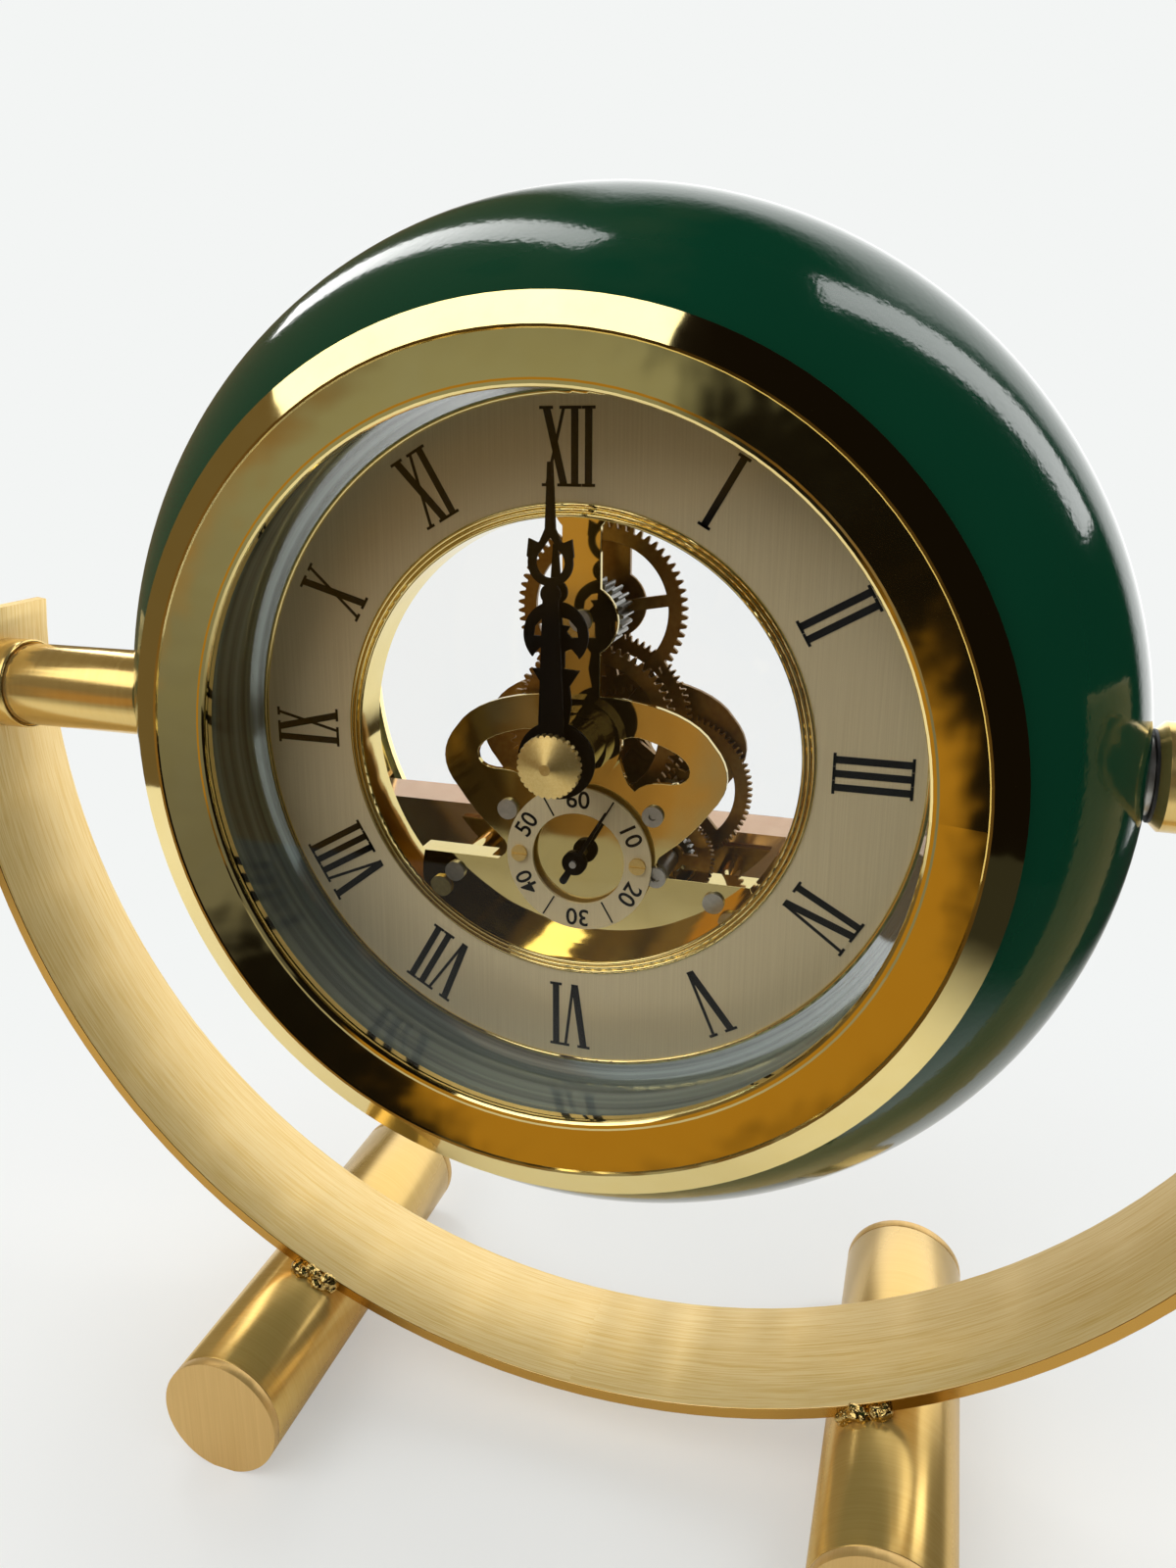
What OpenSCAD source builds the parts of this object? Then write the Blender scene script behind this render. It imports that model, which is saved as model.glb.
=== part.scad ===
// Skeleton table clock: a ring-shaped case with a wide bezel and an open movement,
// hung on two pivots in a half-round yoke that stands on two round feet.
// Right is +X, the dial faces -Y and up is +Z. The origin is on the table, midway between the feet.

/* [Stand] */
// Inner radius of the yoke band, centred on the pivots
yoke_r = 167; // [150:1:190]
// Thickness of the yoke band
yoke_t = 3; // [2:0.5:5]
// Width of the yoke band, front to back
yoke_w = 35; // [28:1:45]
// Angle by which the band runs on above the pivots
yoke_rise = 7; // [6:0.5:12]
// Outside diameter of a foot tube
foot_d = 31; // [24:1:40]
// Depth of the flat ground along the underside of a foot
foot_flat = 0.25; // [0.1:0.05:0.5]
// Wall of a foot tube
foot_wall = 2; // [1:0.5:4]
// Length of a foot, front to back
foot_len = 109; // [90:1:140]
// Angle of a foot from straight below the pivots
foot_angle = 25; // [18:1:35]
// Thickness of a foot's end cap
foot_cap_t = 2.5; // [1.5:0.5:5]
// Radius of the lumps in a weld bead
weld_r = 2.4; // [1.5:0.1:3.5]

/* [Pivots] */
// Diameter of the rods between yoke and case
rod_d = 22; // [16:1:28]
// Bevel round a rod's end at the case
rod_nose = 1.6; // [1:0.1:2.5]
// Diameter of the collar where a rod meets the yoke
collar_d = 24; // [18:1:32]
// Length of that collar
collar_len = 9; // [5:1:14]
// Diameter of the pivot bolts
bolt_d = 8; // [5:0.5:10]
// Diameter of a bolt's head
bolt_head_d = 16; // [12:1:20]
// Height of a bolt's head
bolt_head_h = 3; // [2:0.5:5]
// Length of bolt that turns in the case
bolt_grip = 28; // [18:1:32]
// Diameter of the sleeves in the case
sleeve_d = 16; // [13:0.5:20]
// Thickness of the friction washers
washer_t = 0.5; // [0.4:0.1:1.5]

/* [Case] */
// Largest radius of the case
case_r = 115; // [105:1:130]
// Radius of its rounded edge
case_round = 29; // [20:1:32]
// Depth of the case shell
case_depth = 82; // [76:1:100]
// Radius of its front and rear mouths
mouth_r = 90; // [88.5:0.5:92]
// Wall of the case shell
case_wall = 2; // [1:0.25:3]
// Inner radius of the liner tube
liner_r = 77.5; // [77.3:0.1:78.2]
// Wall of the liner tube
liner_wall = 1.5; // [1:0.1:2.5]

/* [Bezel and glass] */
// Radius of the bezel's outer edge
bezel_r = 91; // [90.5:0.5:96]
// Thickness of that edge
bezel_edge_t = 2; // [1:0.25:3]
// Radius of the crown, where the flange ends
crown_r = 85.2; // [84:0.1:86.5]
// Height of the crown above the case
crown_h = 4.4; // [3.5:0.1:6]
// Outer radius of the dished face inside the crown
dish_outer_r = 84.5; // [83:0.1:84.6]
// Inner radius of the dished face
dish_inner_r = 76.3; // [75.8:0.1:78]
// Slope of the dished face in degrees
dish_lean = 15; // [12:0.5:16]
// Step from the crown down to the dished face
dish_step = 0.5; // [0.3:0.1:0.8]
// Radius of the opening inside the lip
lip_r = 74.6; // [72:0.1:75]
// Radius of the glass
glass_r = 77.1; // [76.4:0.1:77.4]
// Thickness of the glass
glass_t = 2; // [1.5:0.25:2.5]
// Thickness of the ring that holds the glass
retainer_t = 1.4; // [1:0.1:2]
// Thickness of the clear rear cover
cover_t = 2; // [1.5:0.25:3]
// Thickness of the rear ring
rear_ring_t = 2; // [1.5:0.25:4]

/* [Dial] */
// Outer radius of the chapter ring
chapter_r = 75; // [70:0.5:76]
// Inner radius of the chapter ring
chapter_inner_r = 52.5; // [51:0.5:56]
// Thickness of the chapter ring
chapter_t = 1; // [0.6:0.1:1.5]
// Distance of the dial in front of the pivots
dial_front = 17; // [15:0.5:20]
// Width of the ring's rolled gold edge
chapter_edge = 1.2; // [0.8:0.1:2]
// Width of the turned rim round the open window
window_rim_w = 3; // [2:0.25:4]
// Distance of the small seconds centre below the middle
seconds_drop = 27.7; // [26.5:0.1:29]
// Gap between the small seconds ring and the window's rim
seconds_gap = 4.7; // [3.5:0.1:6]
// Width of the small seconds ring
seconds_w = 6.2; // [5:0.1:7.5]

/* [Movement] */
// Thickness of the two movement plates
plate_t = 1.5; // [1:0.1:1.6]
// Distance of the front plate's face in front of the pivots
plate_front = 8.2; // [7.6:0.1:9]
// Distance of the rear plate's back behind the pivots
plate_rear = 18; // [17:0.5:19]
// Half the width of the shield-shaped plates
shield_w = 33; // [30:0.5:36]
// Half the width of the stem above them
stem_w = 4.3; // [3.5:0.1:6]
// Radius of the lobe that carries the upper arbor
stem_lobe_r = 8.2; // [7:0.1:10]
// Depth of the chord that ends the lower plate segment, below the middle
chord_drop = 30.6; // [29:0.1:33]
// Diameter of the plate pillars
pillar_d = 5; // [3:0.5:5.5]
// Radius of the arbors
arbor_r = 1.5; // [1.2:0.1:1.8]
// Radius of their pivots
pivot_r = 0.8; // [0.6:0.05:1]
// Thickness of the train wheels
wheel_t = 1.4; // [1:0.1:1.6]
// Width of a wheel's rim inside the teeth
rim_w = 3; // [2:0.1:4]
// Number of spokes in a wheel
spokes = 4; // [3:1:6]

/* [Teeth] */
// Module of the show wheels
show_m = 0.65; // [0.6:0.01:0.68]
// Module of the centre wheel and third pinion
centre_m = 0.52; // [0.5:0.01:0.54]
// Module of the third wheel and seconds pinion
third_m = 0.48; // [0.46:0.01:0.5]
// Module of the seconds wheel and its driver
seconds_m = 0.45; // [0.43:0.01:0.47]
// Module of the intermediate wheel and drive pinion
drive_m = 0.35; // [0.33:0.01:0.37]
// Module of the wheels behind the hands
motion_m = 0.35; // [0.33:0.01:0.37]
// Thinning of each tooth for play
backlash = 0.09; // [0.06:0.01:0.12]

/* [Hands] */
// Length of the minute hand
minute_len = 61; // [52:1:66]
// Length of the hour hand
hour_len = 45; // [40:1:50]
// Length of the seconds hand
seconds_len = 14.5; // [11:0.5:16]
// Thickness of the hands
hand_t = 0.7; // [0.4:0.1:1]
// Distance of the minute hand in front of the pivots
hand_front = 28.5; // [27.5:0.5:31]
// Diameter of the hand nut
nut_d = 13.6; // [10:0.2:15]

/* [Drive] */
// Diameter of the battery
battery_d = 14.4; // [13.5:0.1:14.5]
// Length of the battery
battery_len = 50.5; // [48:0.5:51]
// Wall of the battery box and the drive housing
box_wall = 1.2; // [0.8:0.1:1.4]
// Diameter of the setting knob
knob_d = 14; // [10:0.5:16]

/* [Hidden] */
$fn = 96;

brass = "goldenrod";
bronze = "darkgoldenrod";
steel = "silver";
black = [0.05, 0.05, 0.05];
green = [0.02, 0.25, 0.15];
champagne = [0.75, 0.68, 0.5];

// Clearances: seat for fixed pieces, run for shafts, face for flat faces that turn past each other
seat = 0.02;
run = 0.05;
face = 0.15;
over = 1;

// Stand
foot_reach = yoke_r + yoke_t + seat + foot_d / 2;
foot_x = foot_reach * sin(foot_angle);
foot_z = foot_d / 2 - foot_flat;
pivot_z = foot_reach * cos(foot_angle) + foot_z;
rod_start = case_r + washer_t + 2 * face;

// Case: face_z is the front mouth, and the back mirrors it
face_z = case_depth / 2;
round_c = case_r - case_round;
mouth_run = norm([mouth_r - round_c, face_z]);
lean = atan2(face_z, mouth_r - round_c) - acos(case_round / mouth_run);
inner_mouth_r = mouth_r - case_wall / cos(lean);
liner_out = liner_r + liner_wall;
skirt_r = glass_r + 0.1;
lip_under = 0.2;
glass_back = face_z + lip_under - face / 3 - glass_t;
skirt_end = glass_back - retainer_t - 2 * face;
spigot_r = inner_mouth_r - 1.2;
liner_front = skirt_end - seat;
liner_back = -face_z + seat;
dish_top = crown_h - dish_step;
dish_low = dish_top - (dish_outer_r - dish_inner_r) * tan(dish_lean);
lip_w = dish_inner_r - lip_r;
lip_drop = (dish_low - lip_under) * 0.65;
ring_lug = [7, 6, 8];
ring_screw_r = 1.4;
ring_screw_at = liner_out + ring_lug[1] / 2;

// Dial: the seconds ring keeps clear of the window's rim and of the bush in the middle
bush_r = 6.2;
bush_flange_r = bush_r + 3.6;
bush_gap = 0.8;
window_r = chapter_inner_r - window_rim_w;
seconds_r = min(window_r - seconds_drop - seconds_gap, seconds_drop - bush_flange_r - bush_gap);
seconds_hole_r = seconds_r - seconds_w;
seconds_screw_x = (seconds_r + seconds_hole_r) / 2;

// Movement: depths count forward from the pivots
plate_back = plate_front - plate_t;
rear_front = -plate_rear + plate_t;
press = 20;
shift = 0.4;
centre_n = 80;
third_n = 75;
leaf_n = 10;
show_n = 60;
show_leaf_n = 22;
second_n = 60;
second_leaf_n = 20;
mid_n = 60;
drive_n = 15;
cannon_n = 15;
minute_n = 45;
minute_leaf_n = 12;
hour_n = 48;
third_reach = centre_m * (centre_n + leaf_n) / 2;
third_to_seconds = third_m * (third_n + leaf_n) / 2;
third_y = -(third_reach ^ 2 - third_to_seconds ^ 2 + seconds_drop ^ 2) / (2 * seconds_drop);
third_at = [sqrt(third_reach ^ 2 - third_y ^ 2), third_y];
seconds_at = [0, -seconds_drop];
upper_at = [0, show_m * (show_n + show_leaf_n) / 2];
mid_reach = seconds_m * (second_n + second_leaf_n) / 2;
mid_dir = -9;
mid_at = seconds_at + mid_reach * [cos(mid_dir), sin(mid_dir)];
drive_reach = drive_m * (mid_n + drive_n) / 2;
drive_dir = -100;
drive_at = mid_at + drive_reach * [cos(drive_dir), sin(drive_dir)];
motion_reach = motion_m * (cannon_n + minute_n) / 2;
motion_dir = 135;
motion_at = motion_reach * [cos(motion_dir), sin(motion_dir)];
third_dir = atan2(third_at[1], third_at[0]);
third_seconds_dir = atan2(third_at[1] - seconds_at[1], third_at[0] - seconds_at[0]);

// Levels of the wheels, as the depth of each one's back face
hour_z = plate_back - 0.8 - 1.6;
motion_z = hour_z - 2.2;
show_z = motion_z - 2.2 - wheel_t;
mid_z = show_z - 4.2;
upper_z = show_z - 7.2;
second_z = upper_z - 1.2;
centre_z = rear_front + 4.4;
third_z = rear_front + 1.2;
stud_r = 1;
stud_collar_r = 2.4;
mid_pipe_r = 2.2;
minute_r = 2;
pipe_bore = minute_r + run;
pipe_r = 3.4;
bush_bore = pipe_r + run;
hour_z_hand = hand_front - 2.6 - hand_t;
bush_front = hour_z_hand - 1;

// Pillars stand clear of every wheel
top_wheel_y = upper_at[1] + show_m * (show_n / 2 + 1);
top_pillar_y = max(window_r + 2, top_wheel_y + pillar_d / 2 + over);
pillar_at = [[-17.4, -18], [31, -35], [-31, -35], [0, top_pillar_y]];
pillar_screw_r = 1.2;
pillar_head = [2.4, 0.9];
segment_r = max(window_r + 2.8, norm(pillar_at[1]) + pillar_d);
rear_segment_r = segment_r - 2.1;
bushes = [third_at, mid_at, upper_at];

// Cross rail, battery and drive, behind the rear plate
rail_t = 1.2;
rail_top = -27.4;
rail_low = -45;
rail_tab = 14;
tab_screw_back = 9;
tab_screw_r = 1.2;
tab_head_r = 2.1;
tab_head_h = 1.1;
rail_front = -plate_rear - seat;
box_front = rail_front - rail_t - seat;
box_h = battery_d + 2 * box_wall + 0.5;
box_depth = battery_d + box_wall + 0.8;
box_len = battery_len + 2 * box_wall + 5;
box_top = rail_top - rail_t - seat;
box_x = -2;
contact_w = 10;
contact_t = 0.5;
battery_y = box_top - box_h / 2;
battery_z = box_front - box_wall - battery_d / 2 - 0.2;
drive_x = [3, 40];
knob_back = rear_front - 9;

// Places what follows on the dial: x right, y up and z towards the viewer
module dial_frame() {
    translate([0, 0, pivot_z]) rotate([90, 0, 0]) children();
}

module disc(r, z0, z1) {
    translate([0, 0, z0]) cylinder(r = r, h = z1 - z0);
}

module ring(r0, r1, z0, z1) {
    difference() {
        disc(r1, z0, z1);
        disc(r0, z0 - over, z1 + over);
    }
}

module both_sides() {
    for (side = [0, 1]) mirror([side, 0, 0]) children();
}

// A round bar along x at the height of the pivots
module pivot_bar(d, x0, x1) {
    translate([x0, 0, pivot_z]) rotate([0, 90, 0]) cylinder(d = d, h = x1 - x0);
}

// Involute teeth
function inv_deg(a) = tan(a) * 180 / PI - a;

function tooth_half(n, m, x, r) =
    let (pitch = m * n / 2, base = pitch * cos(press), a = r > base ? acos(base / r) : 0)
    (90 + 2 * x * tan(press) * 180 / PI) / n - backlash / 2 / pitch * 180 / PI
        + inv_deg(press) - inv_deg(a);

function tooth_radii(n, m, x) =
    let (pitch = m * n / 2, base = pitch * cos(press))
    let (root = pitch - m * (1.25 - x), tip = pitch + m * (0.9 + x))
    root < base ? [root, base, (base + tip) / 2, tip] : [root, (root + tip) / 2, tip];

function gear_points(n, m, x) =
    let (radii = tooth_radii(n, m, x), last = len(radii) - 1)
    [for (i = [0:n - 1]) for (k = [0:2 * last + 1])
        let (r = radii[k <= last ? k : 2 * last + 1 - k], half = tooth_half(n, m, x, r))
        let (a = i * 360 / n + (k <= last ? -half : half))
        r * [cos(a), sin(a)]];

module gear(n, m, x, z0, z1, turn) {
    translate([0, 0, z0]) rotate(turn) linear_extrude(z1 - z0) polygon(gear_points(n, m, x));
}

// A crossed wheel: toothed rim, spokes and hub, cut from one flat blank
module wheel(n, m, x, z0, t, turn, hub_r, bore_r) {
    inner = m * n / 2 - m * (1.25 - x) - rim_w;
    spoke_w = rim_w * 0.9;
    translate([0, 0, z0]) rotate(turn) linear_extrude(t) difference() {
        polygon(gear_points(n, m, x));
        difference() {
            circle(r = inner);
            circle(r = hub_r);
            for (i = [0:spokes - 1]) rotate(i * 360 / spokes + 7)
                translate([0, -spoke_w / 2]) square([inner + rim_w / 2, spoke_w]);
        }
        circle(r = bore_r);
    }
}

// A steel arbor with pivots that turn in the plates
module arbor(front_pivot = plate_front + 0.3) {
    disc(arbor_r, rear_front + face, plate_back - face);
    disc(pivot_r, -plate_rear - 0.3, front_pivot);
}

// Bends a corner: points along a curve from a to c that leans to b
function bend(a, b, c, steps = 8) =
    [for (i = [0:steps]) let (t = i / steps) (1 - t) ^ 2 * a + 2 * t * (1 - t) * b + t ^ 2 * c];

// Stand pieces

module yoke() {
    turn = 90 + yoke_rise;
    color(brass) difference() {
        translate([0, yoke_w / 2, pivot_z]) rotate([90, 0, 0]) rotate(-90 - turn)
            rotate_extrude(angle = 2 * turn) translate([yoke_r, 0]) square([yoke_t, yoke_w]);
        both_sides() pivot_bar(bolt_d + 0.4, yoke_r - 2 * yoke_t, yoke_r + 2 * yoke_t);
    }
}

// Everything of a foot that lies above the table
module above_table() {
    difference() {
        children();
        translate([-2 * yoke_r, -foot_len, -foot_d]) cube([4 * yoke_r, 2 * foot_len, foot_d]);
    }
}

module foot_tube() {
    above_table() translate([foot_x, foot_len / 2 - foot_cap_t, foot_z]) rotate([90, 0, 0])
        ring(foot_d / 2 - foot_wall, foot_d / 2, 0, foot_len - 2 * foot_cap_t);
}

module foot_left() {
    color(brass) mirror([1, 0, 0]) foot_tube();
}

module foot_right() {
    color(brass) foot_tube();
}

// Each cap is a disc with a spigot that fits in the tube
module foot_caps() {
    color(brass) above_table() both_sides() for (end = [0, 1]) mirror([0, end, 0])
        translate([foot_x, -foot_len / 2 + foot_cap_t, foot_z]) rotate([90, 0, 0]) {
            disc(foot_d / 2, seat, foot_cap_t);
            disc(foot_d / 2 - foot_wall - seat, -4, seat);
        }
}

// Lumpy beads in the corner between the band's edges and each foot
module weld_beads() {
    color(bronze) both_sides() for (end = [0, 1]) mirror([0, end, 0])
        translate([0, -yoke_w / 2 - seat, pivot_z]) rotate([90, 0, 0]) for (layer = [1, 0.7])
            linear_extrude(weld_r * (1.5 - layer)) difference() {
                rotate(foot_angle) for (i = [-2:2])
                    translate([i * weld_r * 1.1, -yoke_r - yoke_t * 0.6])
                        circle(r = layer * weld_r * (1 - 0.08 * abs(i)), $fn = 32);
                translate([foot_x, foot_z - pivot_z]) circle(d = foot_d + 2 * seat);
            }
}

// A hollow rod that runs from the band's inner face to the washer on the case
module rod() {
    difference() {
        intersection() {
            union() {
                pivot_bar(rod_d, rod_start + rod_nose, yoke_r + over);
                translate([rod_start, 0, pivot_z]) rotate([0, 90, 0])
                    cylinder(d1 = rod_d - 2 * rod_nose, d2 = rod_d, h = rod_nose);
            }
            translate([0, rod_d, pivot_z]) rotate([90, 0, 0]) disc(yoke_r - seat, 0, 2 * rod_d);
        }
        pivot_bar(bolt_d + 0.4, rod_start - over, yoke_r + 2 * over);
    }
}

module rod_left() {
    color(brass) mirror([1, 0, 0]) rod();
}

module rod_right() {
    color(brass) rod();
}

module rod_collars() {
    color(brass) both_sides() difference() {
        intersection() {
            pivot_bar(collar_d, yoke_r - collar_len, yoke_r + over);
            translate([0, collar_d, pivot_z]) rotate([90, 0, 0]) disc(yoke_r - seat, 0, 2 * collar_d);
        }
        pivot_bar(rod_d + 2 * seat, yoke_r - collar_len - over, yoke_r + 2 * over);
    }
}

module pivot_bolts() {
    head_x = yoke_r + yoke_t + seat;
    color(steel) both_sides() {
        pivot_bar(bolt_d, case_r - bolt_grip, head_x);
        translate([head_x, 0, pivot_z]) rotate([0, 90, 0])
            cylinder(d1 = bolt_head_d, d2 = bolt_head_d * 0.75, h = bolt_head_h);
    }
}

module friction_washers() {
    color(black) both_sides() difference() {
        pivot_bar(rod_d - 2 * rod_nose, rod_start - seat - washer_t, rod_start - seat);
        pivot_bar(bolt_d + 2 * run, case_r - over, yoke_r);
    }
}

// Case pieces

// Side view of the case: radius across, depth up. Two straight flanks meet in an edge that is rounded off
module case_side(r, mouth) {
    top = [mouth, face_z];
    slope = [round_c, 0] + r * [cos(lean + 4), sin(lean + 4)] - top;
    apex = [mouth - slope[0] * face_z / slope[1], 0];
    corner = 4 * r * [cos(lean), sin(lean)];
    back = mouth - mouth_r + inner_mouth_r - over;
    difference() {
        polygon([top, apex, [mouth, -face_z], [back, -face_z], [back, face_z]]);
        translate([round_c, 0]) difference() {
            polygon([[0, 0], corner, [corner[0], -corner[1]]]);
            circle(r = r);
        }
    }
}

module case_shell() {
    color(green) difference() {
        dial_frame() rotate_extrude() difference() {
            case_side(case_round, mouth_r);
            case_side(case_round - case_wall, inner_mouth_r);
            translate([inner_mouth_r - 2 * case_round, -face_z - over])
                square([2 * case_round, case_depth + 2 * over]);
        }
        both_sides() pivot_bar(sleeve_d + 2 * seat, round_c, case_r + over);
    }
}

// Sleeves that the pivot bolts turn in, fixed between liner and shell
module pivot_sleeves() {
    color(steel) both_sides() difference() {
        pivot_bar(sleeve_d, liner_out + case_wall, case_r + face);
        pivot_bar(bolt_d + 2 * run, liner_out, case_r + over);
        translate([0, sleeve_d, pivot_z]) rotate([90, 0, 0]) disc(liner_out + seat, 0, 2 * sleeve_d);
    }
}

// Tube behind the glass, with lugs for the rear ring's screws
module liner() {
    color("darkslategray") dial_frame() difference() {
        union() {
            ring(liner_r, liner_out, liner_back, liner_front);
            for (a = [45:90:315]) rotate(a) difference() {
                translate([-ring_lug[0] / 2, liner_r + liner_wall / 2, liner_back])
                    cube([ring_lug[0], ring_lug[1] + liner_wall / 2, ring_lug[2]]);
                disc(liner_r + liner_wall / 2, liner_back - over, liner_back + ring_lug[2] + over);
            }
        }
        for (a = [45:90:315]) rotate(a) translate([0, ring_screw_at, liner_back - over])
            cylinder(r = ring_screw_r + seat, h = ring_lug[2]);
    }
}

// Sloping flange, then a dished mirror face that runs down to a rounded lip over the glass
module bezel() {
    nose = [for (a = [75:-25:0]) [lip_r + lip_w * (1 - cos(a)), dish_low - lip_drop * (1 - sin(a))]];
    flange = [[bezel_r, 0], [bezel_r, bezel_edge_t], [crown_r, crown_h], [dish_outer_r + 0.2, crown_h - 0.1]];
    dish = [[dish_outer_r, dish_top], [dish_inner_r, dish_low]];
    back = [[lip_r, lip_under], [skirt_r, lip_under], [skirt_r, skirt_end - face_z],
        [liner_out, skirt_end - face_z], [liner_out, -2], [spigot_r, -2], [spigot_r, seat], [mouth_r, seat]];
    color(brass) dial_frame() translate([0, 0, face_z + seat]) rotate_extrude()
        polygon(concat(flange, dish, nose, back));
}

module glass() {
    color([0.8, 0.9, 0.9, 0.3]) dial_frame() disc(glass_r, glass_back, glass_back + glass_t);
}

module glass_retainer() {
    color(brass) dial_frame()
        ring(lip_r + 0.8, skirt_r - seat, glass_back - retainer_t - seat, glass_back - seat);
}

// Flat ring that closes the back and clamps the cover
module rear_ring() {
    color(brass) dial_frame() difference() {
        ring(liner_r - 3, mouth_r + 1, -face_z - rear_ring_t, -face_z);
        for (a = [45:90:315]) rotate(a) translate([0, ring_screw_at, -face_z - rear_ring_t - over])
            cylinder(r = ring_screw_r + seat, h = rear_ring_t + 2 * over);
    }
}

module rear_cover() {
    z = -face_z + seat;
    color([0.8, 0.9, 0.9, 0.3]) dial_frame() disc(liner_r - 2 * run, z, z + cover_t);
}

module rear_ring_screws() {
    head = [2.6, 1.2];
    color(steel) dial_frame() for (a = [45:90:315]) rotate(a) translate([0, ring_screw_at, 0]) {
        disc(head[0], -face_z - rear_ring_t - seat - head[1], -face_z - rear_ring_t - seat);
        disc(ring_screw_r, -face_z - rear_ring_t - seat, liner_back + ring_lug[2] - 2 * over);
    }
}

// Dial pieces

module chapter_ring() {
    color(champagne) dial_frame()
        ring(chapter_inner_r + seat, chapter_r - chapter_edge, dial_front - chapter_t, dial_front);
}

// Rolled gold edge that holds the ring's rim
module chapter_edge_ring() {
    color(brass) dial_frame() rotate_extrude() difference() {
        union() {
            translate([chapter_r - chapter_edge / 2, dial_front]) circle(d = chapter_edge, $fn = 32);
            translate([chapter_r - chapter_edge + seat, dial_front - 2 * chapter_t])
                square([chapter_edge - seat, 2 * chapter_t]);
        }
        translate([chapter_r - 2 * chapter_edge + seat, dial_front - chapter_t - seat])
            square([chapter_edge, chapter_t + 2 * seat]);
    }
}

// Turned rim that stands on the front plate and carries the chapter ring
module window_rim() {
    ridge = (chapter_inner_r - window_r) / 3;
    foot_z = plate_front + seat;
    ledge_z = dial_front - chapter_t;
    color(brass) dial_frame() {
        ring(window_r, chapter_inner_r, foot_z, dial_front);
        ring(chapter_inner_r, chapter_inner_r + 2, ledge_z - 1.2, ledge_z - seat);
        for (i = [0:2]) translate([0, 0, dial_front])
            rotate_extrude() intersection() {
                translate([window_r + ridge * (i + 0.5), 0]) circle(d = ridge, $fn = 32);
                translate([window_r, 0]) square([3 * ridge, ridge]);
            }
    }
}

// Half of the shield, from its top on the middle line to the chord
function shield_side() = concat(
    [[0, 10], [7.5, 10]],
    bend([7.5, 10], [shield_w * 0.75, 8.5], [shield_w * 0.9, 1], 8),
    bend([shield_w * 0.9, 1], [shield_w * 1.1, -6.5], [shield_w * 0.9, -14], 8),
    bend([shield_w * 0.9, -14], [shield_w * 0.78, -20], [20, -24.5], 4),
    bend([20, -24.5], [15.5, -27.5], [20, -chord_drop], 4),
    [[20, -chord_drop - 1], [0, -chord_drop - 1]]);

// Window in one side of the shield
function shield_window() = concat(
    bend([8.5, -1], [10, 2.5], [15, 1], 5),
    bend([15, 1], [24.5, -1.5], [24.8, -5.2], 6),
    bend([24.8, -5.2], [25, -9], [18.5, -8.6], 5),
    bend([18.5, -8.6], [14.5, -8.6], [12.5, -11], 4),
    bend([12.5, -11], [9.5, -9], [8.5, -1], 4));

// Flat shape shared by both plates, without its lower segment
module shield(t) {
    linear_extrude(t) both_sides() difference() {
        union() {
            polygon(shield_side());
            square([stem_w, top_pillar_y + 3.5]);
        }
        polygon(shield_window());
    }
    for (lobe = [[upper_at, stem_lobe_r], [[0, top_pillar_y], stem_w + 2]])
        translate(lobe[0]) cylinder(r = lobe[1], h = t);
}

module segment(r, t) {
    intersection() {
        cylinder(r = r, h = t);
        translate([-r, -2 * r - chord_drop, -over]) cube([2 * r, 2 * r, t + 2 * over]);
    }
}

module pivot_holes(z0, z1) {
    for (p = [third_at, upper_at, seconds_at]) translate(p) disc(pivot_r + run, z0, z1);
    for (p = pillar_at) translate(p) disc(pillar_screw_r + seat, z0, z1);
}

module front_plate() {
    flange_end = sqrt(segment_r ^ 2 - (chord_drop + plate_t) ^ 2) - over;
    flange_x = mid_at[0] + stud_collar_r + 2 * over;
    flange_d = 5;
    z1 = plate_front + over;
    color(brass) dial_frame() difference() {
        union() {
            translate([0, 0, plate_back]) {
                shield(plate_t);
                segment(segment_r, plate_t);
            }
            both_sides() translate([flange_x, -chord_drop - plate_t, plate_back - flange_d])
                cube([flange_end - flange_x, plate_t, flange_d + plate_t]);
        }
        pivot_holes(plate_back - over, z1);
        disc(bush_r + seat, plate_back - over, z1);
        for (p = [motion_at, mid_at]) translate(p) disc(stud_r + seat, plate_back - over, z1);
        for (x = [-1, 1]) translate([x * seconds_screw_x, -seconds_drop])
            disc(1 + seat, plate_back - over, z1);
    }
}

module rear_plate() {
    color(bronze) dial_frame() difference() {
        translate([0, 0, -plate_rear]) {
            shield(plate_t);
            segment(rear_segment_r, plate_t);
        }
        pivot_holes(-plate_rear - over, rear_front + over);
        disc(minute_r + run, -plate_rear - over, rear_front + over);
        translate(drive_at) disc(pivot_r + 3 * run, -plate_rear - over, rear_front + over);
    }
}

module pillars() {
    color(brass) dial_frame() for (p = pillar_at) translate(p)
        ring(pillar_screw_r + seat, pillar_d / 2, rear_front + seat, plate_back - seat);
}

// Long screws through both plates, with flat heads in front. The topmost is flush, under the window rim
module pillar_screws() {
    z = plate_front + seat;
    color(steel) dial_frame() for (p = pillar_at) translate(p) {
        disc(pillar_screw_r, -plate_rear + seat, norm(p) < window_r ? z : plate_front);
        if (norm(p) < window_r) disc(pillar_head[0], z, z + pillar_head[1]);
    }
}

// Steel bushes on the front plate for the train's pivots
module pivot_bushes() {
    color(steel) dial_frame() for (p = bushes) translate(p)
        ring((p == mid_at ? stud_r : pivot_r) + run, 2.4, plate_front + seat, plate_front + 0.9);
}

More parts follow.
